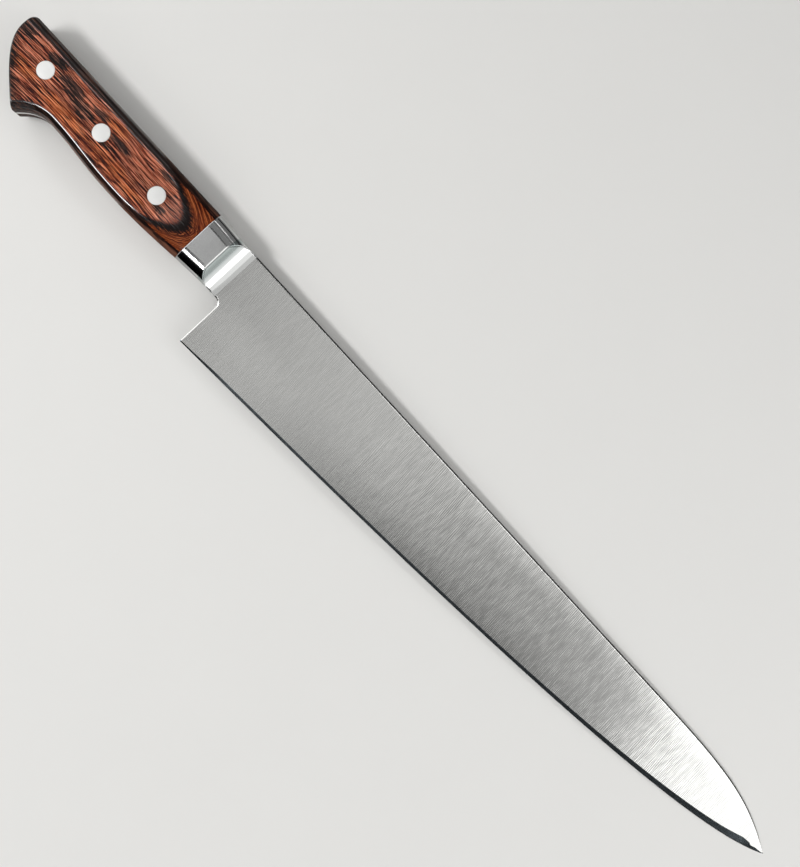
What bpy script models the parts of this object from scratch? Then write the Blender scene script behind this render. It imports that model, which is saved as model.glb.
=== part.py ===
"""Sujihiki slicing knife: one steel blade with a full tang, a pair of bolsters, a pair of
handle scales, and three rivets of two halves each.

All sizes are in metres. The pieces are drawn from the heel of the blade: X runs from the heel
line to the tip, Y from the edge to the spine with zero on the spine at the heel, and Z out of
the right-hand face with zero in the middle of the blade. One empty carries every piece, and
moves that drawing so that the world origin lies under the middle of the knife, level with the
outer face of the back scale.
"""

import math

import bmesh
import bpy
import numpy as np
from mathutils import Vector
from mathutils.geometry import interpolate_bezier

# Blade outline
BLADE_LENGTH = 0.2700
HEEL_HEIGHT = 0.0397
TIP_DEPTH = 0.0115
SPINE_FALL = 0.0005
SPINE_CURVE_LENGTH = 0.0700
SPINE_CURVE_PULL = 0.0350
SPINE_TIP_PULL = 0.0185
SPINE_TIP_SLOPE = 0.60
EDGE_HEEL_SLOPE = 0.042
EDGE_CURVE_LENGTH = 0.0434
EDGE_TIP_SLOPE = 0.52
EDGE_TIP_PULL = 0.0121

# Blade section
SPINE_THICKNESS = 0.0022
TIP_THICKNESS = 0.0008
DISTAL_TAPER = 2.2
SHOULDER_THICKNESS = 0.0005
FACE_CONVEXITY = 1.15
EDGE_BEVEL_HEEL = 0.0010
EDGE_BEVEL_TIP = 0.0022

# Neck and heel, where the fingers close in front of the handle
NECK_DEPTH = 0.0202
CHOIL_RADIUS = 0.0026

# Tang, whose front end is joined to the blade inside the bolsters
TANG_THICKNESS = 0.0020
TANG_BEHIND_BOLSTER_FRONT = 0.0034
TANG_OVERLAP = 0.0014

# Bolsters
BOLSTER_BACK = 0.0215
BOLSTER_FRONT = 0.0056
BOLSTER_THICKNESS = 0.0163
BOLSTER_RIM = 0.0054
RAMP_RADIUS = 0.0090
RAMP_END = 0.0026

# Handle outline, as depths below the spine line
HANDLE_LENGTH = 0.1158
GRIP_CROWN = 0.0006
JOINT_DEPTH = 0.0211
BELLY_DEPTH = 0.0229
WAIST_DEPTH = 0.0213
WAIST_SETBACK = 0.0126
NOSE_DEPTH = 0.0278
NOSE_SETBACK = 0.0185
BUTT_DEPTH = 0.0048
CROWN_CORNER = 0.0020

# Handle section
HANDLE_THICKNESS = 0.0176
GRIP_RIM = 0.0030
RIM_SHARE_OF_WALL = 0.90
RIM_SHARE_OF_DEPTH = 0.40
FACE_SLOPE_LENGTH = 0.0155

# Rivets
RIVET_COUNT = 3
RIVET_FROM_JOINT = 0.0194
RIVET_FROM_BUTT = 0.0173
RIVET_DEPTH_FRONT = 0.0111
RIVET_DEPTH_BUTT = 0.0099
RIVET_HEAD_RADIUS = 0.00325
RIVET_HEAD_DEPTH = 0.0022
POST_RADIUS = 0.0012
POST_SHORT_OF_HEAD = 0.0010
SLEEVE_WALL = 0.0007
SLEEVE_REACH = 0.36

# Clearances between neighbours
SEAT_GAP = 0.0003
RIVET_GAP = 0.0001

# How finely the round stretches are cut
BLADE_STATIONS = 30
GRIP_STATIONS = 12
BOLSTER_STATIONS = 8
RIM_STEPS = 5
FACE_ROWS = 3
CURVE_STEPS = 24
RIVET_SIDES = 24
RAMP_SIDES = 96
TIP_CROWDING = 1.7
LAST_STATION = 0.999
SHARP_ANGLE = 30.0
CUTTER_REACH = 0.0600

# Worked out from the sizes above
TANG_FRONT = BOLSTER_FRONT + TANG_BEHIND_BOLSTER_FRONT
BLADE_ROOT = TANG_FRONT + TANG_OVERLAP
SCALE_SEAT = TANG_THICKNESS / 2 + SEAT_GAP
BOLSTER_SEAT = max(TANG_THICKNESS, SPINE_THICKNESS) / 2 + SEAT_GAP

STEEL = ((0.46, 0.46, 0.46, 1.0), 0.30, 1.0)
POLISHED_STEEL = ((0.62, 0.63, 0.64, 1.0), 0.08, 1.0)
PAKKAWOOD = ((0.23, 0.055, 0.025, 1.0), 0.28, 0.0)
RIVET_METAL = ((0.80, 0.80, 0.79, 1.0), 0.25, 1.0)


def clear_scene():
    """Removes what the file opened with."""
    for thing in list(bpy.data.objects):
        bpy.data.objects.remove(thing)


def new_collection(name, helpers=False):
    """A collection in the scene. One for helpers stays out of renders."""
    collection = bpy.data.collections.new(name)
    collection.hide_render = helpers
    bpy.context.scene.collection.children.link(collection)
    return collection


def new_material(name, color, roughness, metallic):
    """A Principled material with the piece's own colour and finish."""
    material = bpy.data.materials.new(name)
    material.use_nodes = True
    shader = material.node_tree.nodes["Principled BSDF"]
    shader.inputs["Base Color"].default_value = color
    shader.inputs["Roughness"].default_value = roughness
    shader.inputs["Metallic"].default_value = metallic
    return material


def new_object(name, bm, collection, finish=None):
    """An object from a bmesh. With a finish it is a part, and without one it is a cutter."""
    bmesh.ops.recalc_face_normals(bm, faces=bm.faces)
    mesh = bpy.data.meshes.new(name)
    bm.to_mesh(mesh)
    bm.free()
    mesh.shade_smooth()
    mesh.set_sharp_from_angle(angle=math.radians(SHARP_ANGLE))
    thing = bpy.data.objects.new(name, mesh)
    collection.objects.link(thing)
    if finish is None:
        thing.hide_render = True
        thing.display_type = "WIRE"
    else:
        mesh.materials.append(new_material(name, *finish))
    return thing


def boolean(thing, other, operation="DIFFERENCE"):
    """Cuts another object out of this one, or joins it on."""
    modifier = thing.modifiers.new(f"{operation.lower()} {other.name}", "BOOLEAN")
    modifier.operation = operation
    modifier.solver = "EXACT"
    modifier.object = other


def cubic(start, start_pull, end_pull, end):
    """Points along one cubic curve, as rows of x and y. The pulls are its two inner controls."""
    knots = [Vector((x, y, 0.0)) for x, y in (start, start_pull, end_pull, end)]
    return np.array([point[:2] for point in interpolate_bezier(*knots, CURVE_STEPS + 1)])


def joined(*curves):
    """Curves end to end as one run of points, without the doubled ends."""
    return np.vstack([curves[0]] + [curve[1:] for curve in curves[1:]])


def height_at(curve, x):
    """The y of a curve at x, for a curve whose x never turns back."""
    if curve[0, 0] > curve[-1, 0]:
        curve = curve[::-1]
    return float(np.interp(x, curve[:, 0], curve[:, 1]))


def smooth_step(x, start, end):
    """0 before start and 1 after end, with an even turn between."""
    share = min(max((x - start) / (end - start), 0.0), 1.0)
    return share * share * (3.0 - 2.0 * share)


def mix(first, second, share):
    return first + (second - first) * share


# Blade


def spine_curve():
    """The top line of the blade: nearly straight, then down to the tip."""
    bend = BLADE_LENGTH - SPINE_CURVE_LENGTH
    straight = np.array([(-BLADE_ROOT, 0.0), (0.0, 0.0), (bend, -SPINE_FALL)])
    drop = cubic(
        (bend, -SPINE_FALL),
        (bend + SPINE_CURVE_PULL, -SPINE_FALL * (1.0 + SPINE_CURVE_PULL / bend)),
        (BLADE_LENGTH - SPINE_TIP_PULL, -TIP_DEPTH + SPINE_TIP_PULL * SPINE_TIP_SLOPE),
        (BLADE_LENGTH, -TIP_DEPTH),
    )
    return joined(straight, drop)


def edge_curve():
    """The cutting edge: one cubic that is almost straight and then rises to the tip."""
    pull = BLADE_LENGTH - EDGE_CURVE_LENGTH
    rise = cubic(
        (0.0, -HEEL_HEIGHT),
        (pull, -HEEL_HEIGHT + pull * EDGE_HEEL_SLOPE),
        (BLADE_LENGTH - EDGE_TIP_PULL, -TIP_DEPTH - EDGE_TIP_PULL * EDGE_TIP_SLOPE),
        (BLADE_LENGTH, -TIP_DEPTH),
    )
    return joined(np.array([(-BLADE_ROOT, -HEEL_HEIGHT), (0.0, -HEEL_HEIGHT)]), rise)


def blade_section(x, spine, edge):
    """One closed ring round the blade at x: down the right face, round the edge, up the left.

    The faces are ground almost flat from the spine to the shoulder of the edge bevel. Behind
    the heel they turn back to the even thickness of the neck.
    """
    along = max(x, 0.0) / BLADE_LENGTH
    top, bottom = height_at(spine, x), height_at(edge, x)
    spine_half = mix(SPINE_THICKNESS, TIP_THICKNESS, along**DISTAL_TAPER) / 2
    shoulder_half = min(SHOULDER_THICKNESS / 2, spine_half)
    bevel = mix(EDGE_BEVEL_HEEL, EDGE_BEVEL_TIP, along * along)
    bevel = min(bevel, (top - bottom) / 3)
    ground = smooth_step(x, -BOLSTER_FRONT, 0.0)
    right = []
    for row in range(FACE_ROWS + 1):
        depth = row / FACE_ROWS
        half = mix(spine_half, mix(spine_half, shoulder_half, depth**FACE_CONVEXITY), ground)
        right.append((x, mix(top, bottom + bevel, depth), half))
    left = [(x, y, -half) for _, y, half in reversed(right)]
    return right + [(x, bottom, 0.0)] + left


def loft(bm, rings):
    """Skins a run of rings with the same number of points, and closes the first one."""
    loops = [[bm.verts.new(point) for point in ring] for ring in rings]
    for first, second in zip(loops, loops[1:]):
        for i in range(len(first)):
            j = (i + 1) % len(first)
            bm.faces.new((first[i], first[j], second[j], second[i]))
    bm.faces.new(loops[0])
    return loops[-1]


def blade_stations():
    """Places along the blade for its sections, closer together towards the tip."""
    neck = [-BLADE_ROOT, -BOLSTER_FRONT, -BOLSTER_FRONT / 2]
    shares = [i / BLADE_STATIONS for i in range(BLADE_STATIONS)]
    return neck + [BLADE_LENGTH * (1.0 - (1.0 - share) ** TIP_CROWDING) for share in shares]


def make_blade(parts, cutters, tang):
    """The blade, joined to its full tang, because the two are one forging."""
    spine, edge = spine_curve(), edge_curve()
    bm = bmesh.new()
    last = loft(bm, [blade_section(x, spine, edge) for x in blade_stations()])
    tip = bm.verts.new((BLADE_LENGTH, -TIP_DEPTH, 0.0))
    for i in range(len(last)):
        bm.faces.new((last[i], last[(i + 1) % len(last)], tip))
    blade = new_object("blade_and_tang", bm, parts, STEEL)
    boolean(blade, make_finger_space(cutters))
    boolean(blade, tang, "UNION")


def make_finger_space(cutters):
    """What is cut away under the neck and behind the heel, with the choil's round corner."""
    bm = bmesh.new()
    bmesh.ops.create_cube(bm, size=CUTTER_REACH)
    middle = Vector((-CUTTER_REACH / 2, -NECK_DEPTH - CUTTER_REACH / 2, 0.0))
    bmesh.ops.translate(bm, verts=bm.verts, vec=middle)
    corner = [
        rim
        for rim in bm.edges
        if all(vert.co.x > middle.x and vert.co.y > middle.y for vert in rim.verts)
    ]
    bmesh.ops.bevel(bm, geom=corner, offset=CHOIL_RADIUS, segments=6, profile=0.5, affect="EDGES")
    return new_object("finger_space", bm, cutters)


def make_tang(cutters, grip):
    """The flat tang, which has the handle's own outline and ends inside the bolsters."""
    front = -TANG_FRONT
    outline = [(front, height_at(grip.top, front))]
    outline += [(x, y) for x, y in grip.outline if x < front]
    outline += [(front, height_at(grip.bottom, front))]
    curve = bpy.data.curves.new("tang_outline", "CURVE")
    curve.dimensions = "2D"
    curve.fill_mode = "BOTH"
    curve.extrude = TANG_THICKNESS / 2
    spline = curve.splines.new("POLY")
    spline.use_cyclic_u = True
    spline.points.add(len(outline) - 1)
    for point, (x, y) in zip(spline.points, outline):
        point.co = (x, y, 0.0, 1.0)
    drawn = bpy.data.objects.new("tang_outline", curve)
    cutters.objects.link(drawn)
    graph = bpy.context.evaluated_depsgraph_get()
    bm = bmesh.new()
    bm.from_mesh(bpy.data.meshes.new_from_object(drawn.evaluated_get(graph)))
    bmesh.ops.remove_doubles(bm, verts=bm.verts, dist=1e-6)
    bpy.data.objects.remove(drawn)
    return new_object("tang_plate", bm, cutters)


# Handle


class Grip:
    """The handle's shape seen from the side, with the bolsters, and its height above the tang.

    Its outline is a chain of cubics between the joint, the belly, the waist, the nose of the
    beak and the butt. A pull's share says how far it reaches towards the next of them.
    """

    def __init__(self):
        butt, nose = -HANDLE_LENGTH, -HANDLE_LENGTH + NOSE_SETBACK
        waist = nose + WAIST_SETBACK
        joint, front = -BOLSTER_BACK, -BOLSTER_FRONT
        belly = (joint + waist) / 2
        corner = (butt + CROWN_CORNER, GRIP_CROWN)
        self.corner_x = corner[0]
        self.top = joined(
            cubic(
                (front, 0.0),
                (mix(front, joint, 0.4), 0.0),
                (mix(front, joint, 0.5), GRIP_CROWN),
                (joint, GRIP_CROWN),
            ),
            np.array([(joint, GRIP_CROWN), corner]),
            cubic(
                corner,
                (corner[0] - CROWN_CORNER * 0.60, GRIP_CROWN),
                (butt, -BUTT_DEPTH * 0.25),
                (butt, -BUTT_DEPTH),
            ),
        )
        self.rim = joined(
            cubic(
                (front, -NECK_DEPTH),
                (mix(front, joint, 0.35), -NECK_DEPTH),
                (mix(front, joint, 0.65), mix(-JOINT_DEPTH, -NECK_DEPTH, 0.2)),
                (joint, -JOINT_DEPTH),
            ),
            cubic(
                (joint, -JOINT_DEPTH),
                (mix(joint, belly, 0.35), mix(-JOINT_DEPTH, -BELLY_DEPTH, 0.6)),
                (mix(joint, belly, 0.60), -BELLY_DEPTH),
                (belly, -BELLY_DEPTH),
            ),
            cubic(
                (belly, -BELLY_DEPTH),
                (mix(belly, waist, 0.45), -BELLY_DEPTH),
                (mix(belly, waist, 0.60), -WAIST_DEPTH),
                (waist, -WAIST_DEPTH),
            ),
            cubic(
                (waist, -WAIST_DEPTH),
                (mix(waist, nose, 0.52), -WAIST_DEPTH),
                (mix(waist, nose, 0.81), mix(-WAIST_DEPTH, -NOSE_DEPTH, 0.57)),
                (nose, -NOSE_DEPTH),
            ),
        )
        end = cubic(
            (nose, -NOSE_DEPTH),
            (mix(nose, butt, 0.43), mix(-NOSE_DEPTH, -BUTT_DEPTH, 0.31)),
            (butt, mix(-NOSE_DEPTH, -BUTT_DEPTH, 0.62)),
            (butt, -BUTT_DEPTH),
        )
        self.bottom = joined(self.rim, end)
        self.outline = np.vstack([self.top, self.bottom[::-1][1:]])
        run_out = self.rim[-1] + (self.rim[-1] - self.rim[-2]) * CURVE_STEPS
        self.rim = np.vstack([self.rim, run_out])

    def toward_bolster(self, x):
        """0 along the grip and 1 from the joint on."""
        return smooth_step(x, -BOLSTER_BACK - FACE_SLOPE_LENGTH, -BOLSTER_BACK)

    def face(self, x):
        """Height of the flat middle of the side above the middle of the blade."""
        return mix(HANDLE_THICKNESS, BOLSTER_THICKNESS, self.toward_bolster(x)) / 2

    def rim_radius(self, x):
        """How far the long sides are rounded over, kept a little under the wall's height."""
        wall = self.face(x) - max(SCALE_SEAT, BOLSTER_SEAT)
        return min(mix(GRIP_RIM, BOLSTER_RIM, self.toward_bolster(x)), RIM_SHARE_OF_WALL * wall)

    def height(self, x, y):
        """Height of the surface above the middle of the blade. The upper rim runs straight
        out through the butt's corner, and the lower rim out through its end."""
        radius = self.rim_radius(x)
        crown = height_at(self.top, max(x, self.corner_x))
        near = min(crown - y, distance_to(self.rim, x, y))
        inside = min(max(near, 0.0), radius)
        return self.face(x) - radius + math.sqrt(radius**2 - (radius - inside) ** 2)

    def rows(self, x):
        """Places from the top line to the bottom line at x, closer together over the rims."""
        top, bottom = height_at(self.top, x), height_at(self.bottom, x)
        radius = min(self.rim_radius(x), (top - bottom) * RIM_SHARE_OF_DEPTH)
        turns = [math.radians(90) * step / RIM_STEPS for step in range(RIM_STEPS + 1)]
        inset = [radius * (1.0 - math.cos(turn)) for turn in turns]
        upper = [top - offset for offset in inset]
        lower = [bottom + offset for offset in reversed(inset)]
        face = [mix(upper[-1], lower[0], row / FACE_ROWS) for row in range(1, FACE_ROWS)]
        return upper + face + lower


def distance_to(curve, x, y):
    """The shortest way from a point to a run of straight pieces."""
    start, along = curve[:-1], np.diff(curve, axis=0)
    point = np.array([x, y])
    length = np.maximum((along**2).sum(axis=1), 1e-18)
    share = np.clip(((point - start) * along).sum(axis=1) / length, 0.0, 1.0)
    nearest = start + along * share[:, None]
    return float(np.sqrt(((nearest - point) ** 2).sum(axis=1)).min())


def grip_block(name, grip, stations, seat, side, collection, finish):
    """One side of the handle between two places along it, flat where it sits on the tang.

    side is 1 for the right-hand face and -1 for the left.
    """
    bm = bmesh.new()
    columns = []
    for x in stations:
        points = [(x, y, grip.height(x, y) * side) for y in grip.rows(x)]
        columns.append([bm.verts.new(point) for point in points])
    skin = []
    for first, second in zip(columns, columns[1:]):
        for j in range(len(first) - 1):
            skin.append(bm.faces.new((first[j], first[j + 1], second[j + 1], second[j])))
    floor = bmesh.ops.extrude_face_region(bm, geom=skin, use_keep_orig=True)["geom"]
    for vert in floor:
        if isinstance(vert, bmesh.types.BMVert):
            vert.co.z = seat * side
    return new_object(name, bm, collection, finish)


def scale_stations():
    """Places along a scale for its columns: even to the waist and from there to the nose, then
    closer and closer to the butt, where the outline turns."""
    front, butt = -BOLSTER_BACK - SEAT_GAP, -HANDLE_LENGTH
    nose = butt + NOSE_SETBACK
    waist = nose + WAIST_SETBACK
    even = [i / GRIP_STATIONS for i in range(GRIP_STATIONS)]
    closing = [math.sin(math.radians(90) * share) for share in even]
    grip = [mix(front, waist, share) for share in even]
    flank = [mix(waist, nose, share) for share in even]
    return grip + flank + [mix(nose, butt, share) for share in [*closing, LAST_STATION]]


def make_scales(parts, grip):
    """The front and back scales of the handle."""
    stations = scale_stations()
    return [
        grip_block("scale_front", grip, stations, SCALE_SEAT, 1, parts, PAKKAWOOD),
        grip_block("scale_back", grip, stations, SCALE_SEAT, -1, parts, PAKKAWOOD),
    ]


def make_bolsters(parts, cutters, grip):
    """The two bolsters, hollow-ground in front so that they run down into the blade."""
    steps = range(BOLSTER_STATIONS + 1)
    stations = [mix(-BOLSTER_BACK, -BOLSTER_FRONT, i / BOLSTER_STATIONS) for i in steps]
    for name, side in (("bolster_front", 1), ("bolster_back", -1)):
        block = grip_block(name, grip, stations, BOLSTER_SEAT, side, parts, POLISHED_STEEL)
        boolean(block, make_ramp(f"{name}_ramp", side, cutters))


def make_ramp(name, side, cutters):
    """A grinding wheel across the blade, which touches the blade's face at the ramp's end."""
    bm = bmesh.new()
    bmesh.ops.create_cone(
        bm,
        cap_ends=True,
        segments=RAMP_SIDES,
        radius1=RAMP_RADIUS,
        radius2=RAMP_RADIUS,
        depth=CUTTER_REACH * 2,
    )
    wheel = new_object(name, bm, cutters)
    wheel.rotation_euler.x = math.radians(90)
    wheel.location = (-RAMP_END, 0.0, side * (SPINE_THICKNESS / 2 + RAMP_RADIUS))
    return wheel


# Rivets


def turned(name, profile, collection, finish=None):
    """A round piece about the Z axis from a profile of radius and height, top to bottom."""
    bm = bmesh.new()
    points = [bm.verts.new((radius, 0.0, height)) for radius, height in profile]
    for first, second in zip(points, points[1:]):
        bm.edges.new((first, second))
    thing = new_object(name, bm, collection, finish)
    screw = thing.modifiers.new("turn", "SCREW")
    screw.steps = screw.render_steps = RIVET_SIDES
    screw.use_merge_vertices = True
    screw.merge_threshold = 1e-6
    screw.use_smooth_shade = False
    return thing


def rivet_places():
    """The middles of the rivets, evenly spaced from the joint to the butt."""
    first, last = -BOLSTER_BACK - RIVET_FROM_JOINT, -HANDLE_LENGTH + RIVET_FROM_BUTT
    shares = [i / max(RIVET_COUNT - 1, 1) for i in range(RIVET_COUNT)]
    return [
        (mix(first, last, share), -mix(RIVET_DEPTH_FRONT, RIVET_DEPTH_BUTT, share))
        for share in shares
    ]


def make_rivets(parts, cutters, drilled):
    """Each rivet is a post driven into a sleeve, with both heads flush in the scales."""
    face = HANDLE_THICKNESS / 2
    under_head = face - RIVET_HEAD_DEPTH
    sleeve_end = mix(TANG_THICKNESS / 2, under_head, SLEEVE_REACH)
    bore_radius = POST_RADIUS + RIVET_GAP
    sleeve_radius = bore_radius + SLEEVE_WALL
    post = [
        (0.0, face),
        (RIVET_HEAD_RADIUS, face),
        (RIVET_HEAD_RADIUS, under_head),
        (POST_RADIUS, under_head),
        (POST_RADIUS, POST_SHORT_OF_HEAD - under_head),
        (0.0, POST_SHORT_OF_HEAD - under_head),
    ]
    sleeve = [
        (0.0, -under_head),
        (bore_radius, -under_head),
        (bore_radius, sleeve_end),
        (sleeve_radius, sleeve_end),
        (sleeve_radius, -under_head),
        (RIVET_HEAD_RADIUS, -under_head),
        (RIVET_HEAD_RADIUS, -face),
        (0.0, -face),
    ]
    counterbore, counterbore_floor = RIVET_HEAD_RADIUS + RIVET_GAP, under_head - SEAT_GAP
    hole = [
        (0.0, CUTTER_REACH),
        (counterbore, CUTTER_REACH),
        (counterbore, counterbore_floor),
        (sleeve_radius + RIVET_GAP, counterbore_floor),
        (sleeve_radius + RIVET_GAP, -counterbore_floor),
        (counterbore, -counterbore_floor),
        (counterbore, -CUTTER_REACH),
        (0.0, -CUTTER_REACH),
    ]
    for number, (x, y) in enumerate(rivet_places(), start=1):
        place = (x, y, 0.0)
        turned(f"rivet_{number}_post", post, parts, RIVET_METAL).location = place
        turned(f"rivet_{number}_sleeve", sleeve, parts, RIVET_METAL).location = place
        drill = turned(f"rivet_{number}_hole", hole, cutters)
        drill.location = place
        for piece in drilled:
            boolean(piece, drill)


# Assembly


def world_box(things):
    """The lowest and highest corners of the finished pieces."""
    bpy.context.view_layer.update()
    graph = bpy.context.evaluated_depsgraph_get()
    corners = [
        thing.matrix_world @ Vector(corner)
        for thing in things
        for corner in thing.evaluated_get(graph).bound_box
    ]
    return np.min(corners, axis=0), np.max(corners, axis=0)


def carry_on_frame(parts, cutters):
    """Hangs every piece and cutter on one empty, and moves it so that the knife stands over
    the origin."""
    low, high = world_box(parts.objects)
    frame = bpy.data.objects.new("knife_frame", None)
    cutters.objects.link(frame)
    for thing in [*parts.objects, *cutters.objects]:
        if thing is not frame:
            thing.parent = frame
    frame.location = (-(low[0] + high[0]) / 2, -(low[1] + high[1]) / 2, -low[2])


def main():
    clear_scene()
    parts = new_collection("sujihiki_knife")
    cutters = new_collection("cutters", helpers=True)
    grip = Grip()
    tang = make_tang(cutters, grip)
    make_blade(parts, cutters, tang)
    scales = make_scales(parts, grip)
    make_bolsters(parts, cutters, grip)
    make_rivets(parts, cutters, [tang, *scales])
    carry_on_frame(parts, cutters)


main()
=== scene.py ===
"""Sujihiki slicing knife: the finish of every surface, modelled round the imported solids.

The pieces are drawn as the solids are. X runs from the heel line of the blade to the tip, Y from
the cutting edge to the spine with zero on the spine at the heel, and Z out of the right-hand face
with zero in the middle of the blade. Each piece's object stands at that heel point, so its object
coordinates are the drawing's own. Sizes are in metres, and those with names in _mm in millimetres.
"""

import logging
import math
from collections.abc import Sequence
from dataclasses import dataclass, field
from enum import Enum
from functools import cached_property

import bmesh
import bpy
import numpy as np
from bpy.types import Material, Node, NodeTree, Object
from mathutils import Matrix, Vector


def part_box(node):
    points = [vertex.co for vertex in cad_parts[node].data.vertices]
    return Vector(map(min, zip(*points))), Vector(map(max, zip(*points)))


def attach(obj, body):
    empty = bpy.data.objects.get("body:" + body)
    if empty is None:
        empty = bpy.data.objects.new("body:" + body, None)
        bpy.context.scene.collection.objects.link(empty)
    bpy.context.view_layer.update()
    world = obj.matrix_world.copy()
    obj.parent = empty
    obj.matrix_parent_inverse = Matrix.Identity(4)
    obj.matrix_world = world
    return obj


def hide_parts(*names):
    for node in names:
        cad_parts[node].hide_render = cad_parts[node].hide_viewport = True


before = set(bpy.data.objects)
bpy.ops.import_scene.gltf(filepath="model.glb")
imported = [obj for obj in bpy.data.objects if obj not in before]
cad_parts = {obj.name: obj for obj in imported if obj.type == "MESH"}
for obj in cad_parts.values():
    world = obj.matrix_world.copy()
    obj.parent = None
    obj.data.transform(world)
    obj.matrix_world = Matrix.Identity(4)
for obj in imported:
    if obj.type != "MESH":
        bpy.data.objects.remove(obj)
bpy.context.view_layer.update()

log = logging.getLogger("slicing_knife")

Pair = tuple[float, float]
Place = tuple[float, float, float]
Colour = tuple[float, float, float, float]
Ramp = Sequence[tuple[float, Colour]]
Rows = Sequence[Sequence[Sequence[float]]]
Dressed = tuple[Object, str, str]
Socket = bpy.types.NodeSocket

CURVE_STEPS = 48
TOUCHING = 1e-8
JUST_SHORT = TOUCHING * 20
HAIRLINE = 0.00002
MM = 1000.0
FAR_MM = 1e6
BLACK: Colour = (0.0, 0.0, 0.0, 1.0)
WHITE: Colour = (1.0, 1.0, 1.0, 1.0)
NOISE_RANGE = (0.3, 0.7)
NODE_SPACING = 180.0
VECTOR = "NodeSocketVector"
NUMBER = "NodeSocketFloat"
GRAIN = "along_the_knife"
BELOW_FACE = "below_face"
FROM_BUTT = "from_butt"


class Side(Enum):
    """The two faces of the knife."""

    FRONT = 1
    BACK = -1


# Lines and slopes


def mix(first: float, second: float, share: float) -> float:
    """Returns the value that lies a share of the way from first to second."""
    return first + (second - first) * share


def spread(start: float, end: float, count: int) -> list[float]:
    """Returns evenly spaced values after start, the last of which is end."""
    return [mix(start, end, i / count) for i in range(1, count + 1)]


def smooth_step(value: float, start: float, end: float) -> float:
    """Returns 0 before start and 1 after end, with an even turn between."""
    share = min(max((value - start) / (end - start), 0.0), 1.0)
    return share * share * (3.0 - 2.0 * share)


def cubic(start: Sequence[float], pull: Sequence[float], draw: Sequence[float],
          end: Sequence[float]) -> np.ndarray:
    """Returns points along one cubic curve.

    Args:
        start: The curve's first point, as x and y.
        pull: The control that the curve leaves towards.
        draw: The control that the curve arrives from.
        end: The curve's last point.

    Returns:
        Rows of x and y.
    """
    t = np.linspace(0.0, 1.0, CURVE_STEPS + 1)[:, None]
    knots = [np.array(knot, float) for knot in (start, pull, draw, end)]
    weights = ((1 - t) ** 3, 3 * (1 - t) ** 2 * t, 3 * (1 - t) * t**2, t**3)
    return sum(weight * knot for weight, knot in zip(weights, knots))


def joined(*curves: np.ndarray) -> np.ndarray:
    """Returns curves end to end as one run of points, without the doubled ends."""
    return np.vstack([curves[0]] + [curve[1:] for curve in curves[1:]])


def height_at(curve: np.ndarray, x: float) -> float:
    """Returns the y at x of a curve whose x never turns back."""
    curve = curve[::-1] if curve[0, 0] > curve[-1, 0] else curve
    return float(np.interp(x, curve[:, 0], curve[:, 1]))


def distance_to(curve: np.ndarray, x: float, y: float) -> float:
    """Measures the shortest way from a point to a run of straight pieces.

    Args:
        curve: The run's points, as rows of x and y.
        x: The point's x.
        y: Its y.

    Returns:
        The distance.
    """
    start, along = curve[:-1], np.diff(curve, axis=0)
    point = np.array([x, y])
    length = np.maximum((along**2).sum(axis=1), 1e-18)
    share = np.clip(((point - start) * along).sum(axis=1) / length, 0.0, 1.0)
    nearest = start + along * share[:, None]
    return float(np.sqrt(((nearest - point) ** 2).sum(axis=1)).min())


def rounded(inside: float, radius: float, fullness: float = 2.0) -> float:
    """Returns how far a rounded edge has dropped below its face.

    Args:
        inside: Distance from the outline to the point.
        radius: Width of the rounding, which drops as far as it is wide.
        fullness: 2 for a circle, and more for an edge that starts to drop later.

    Returns:
        The drop, from 0 at the face to the radius at the outline.
    """
    reach = 1.0 - min(max(inside / radius, 0.0), 1.0)
    return radius * (1.0 - (1.0 - reach**fullness) ** (1.0 / fullness))


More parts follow.
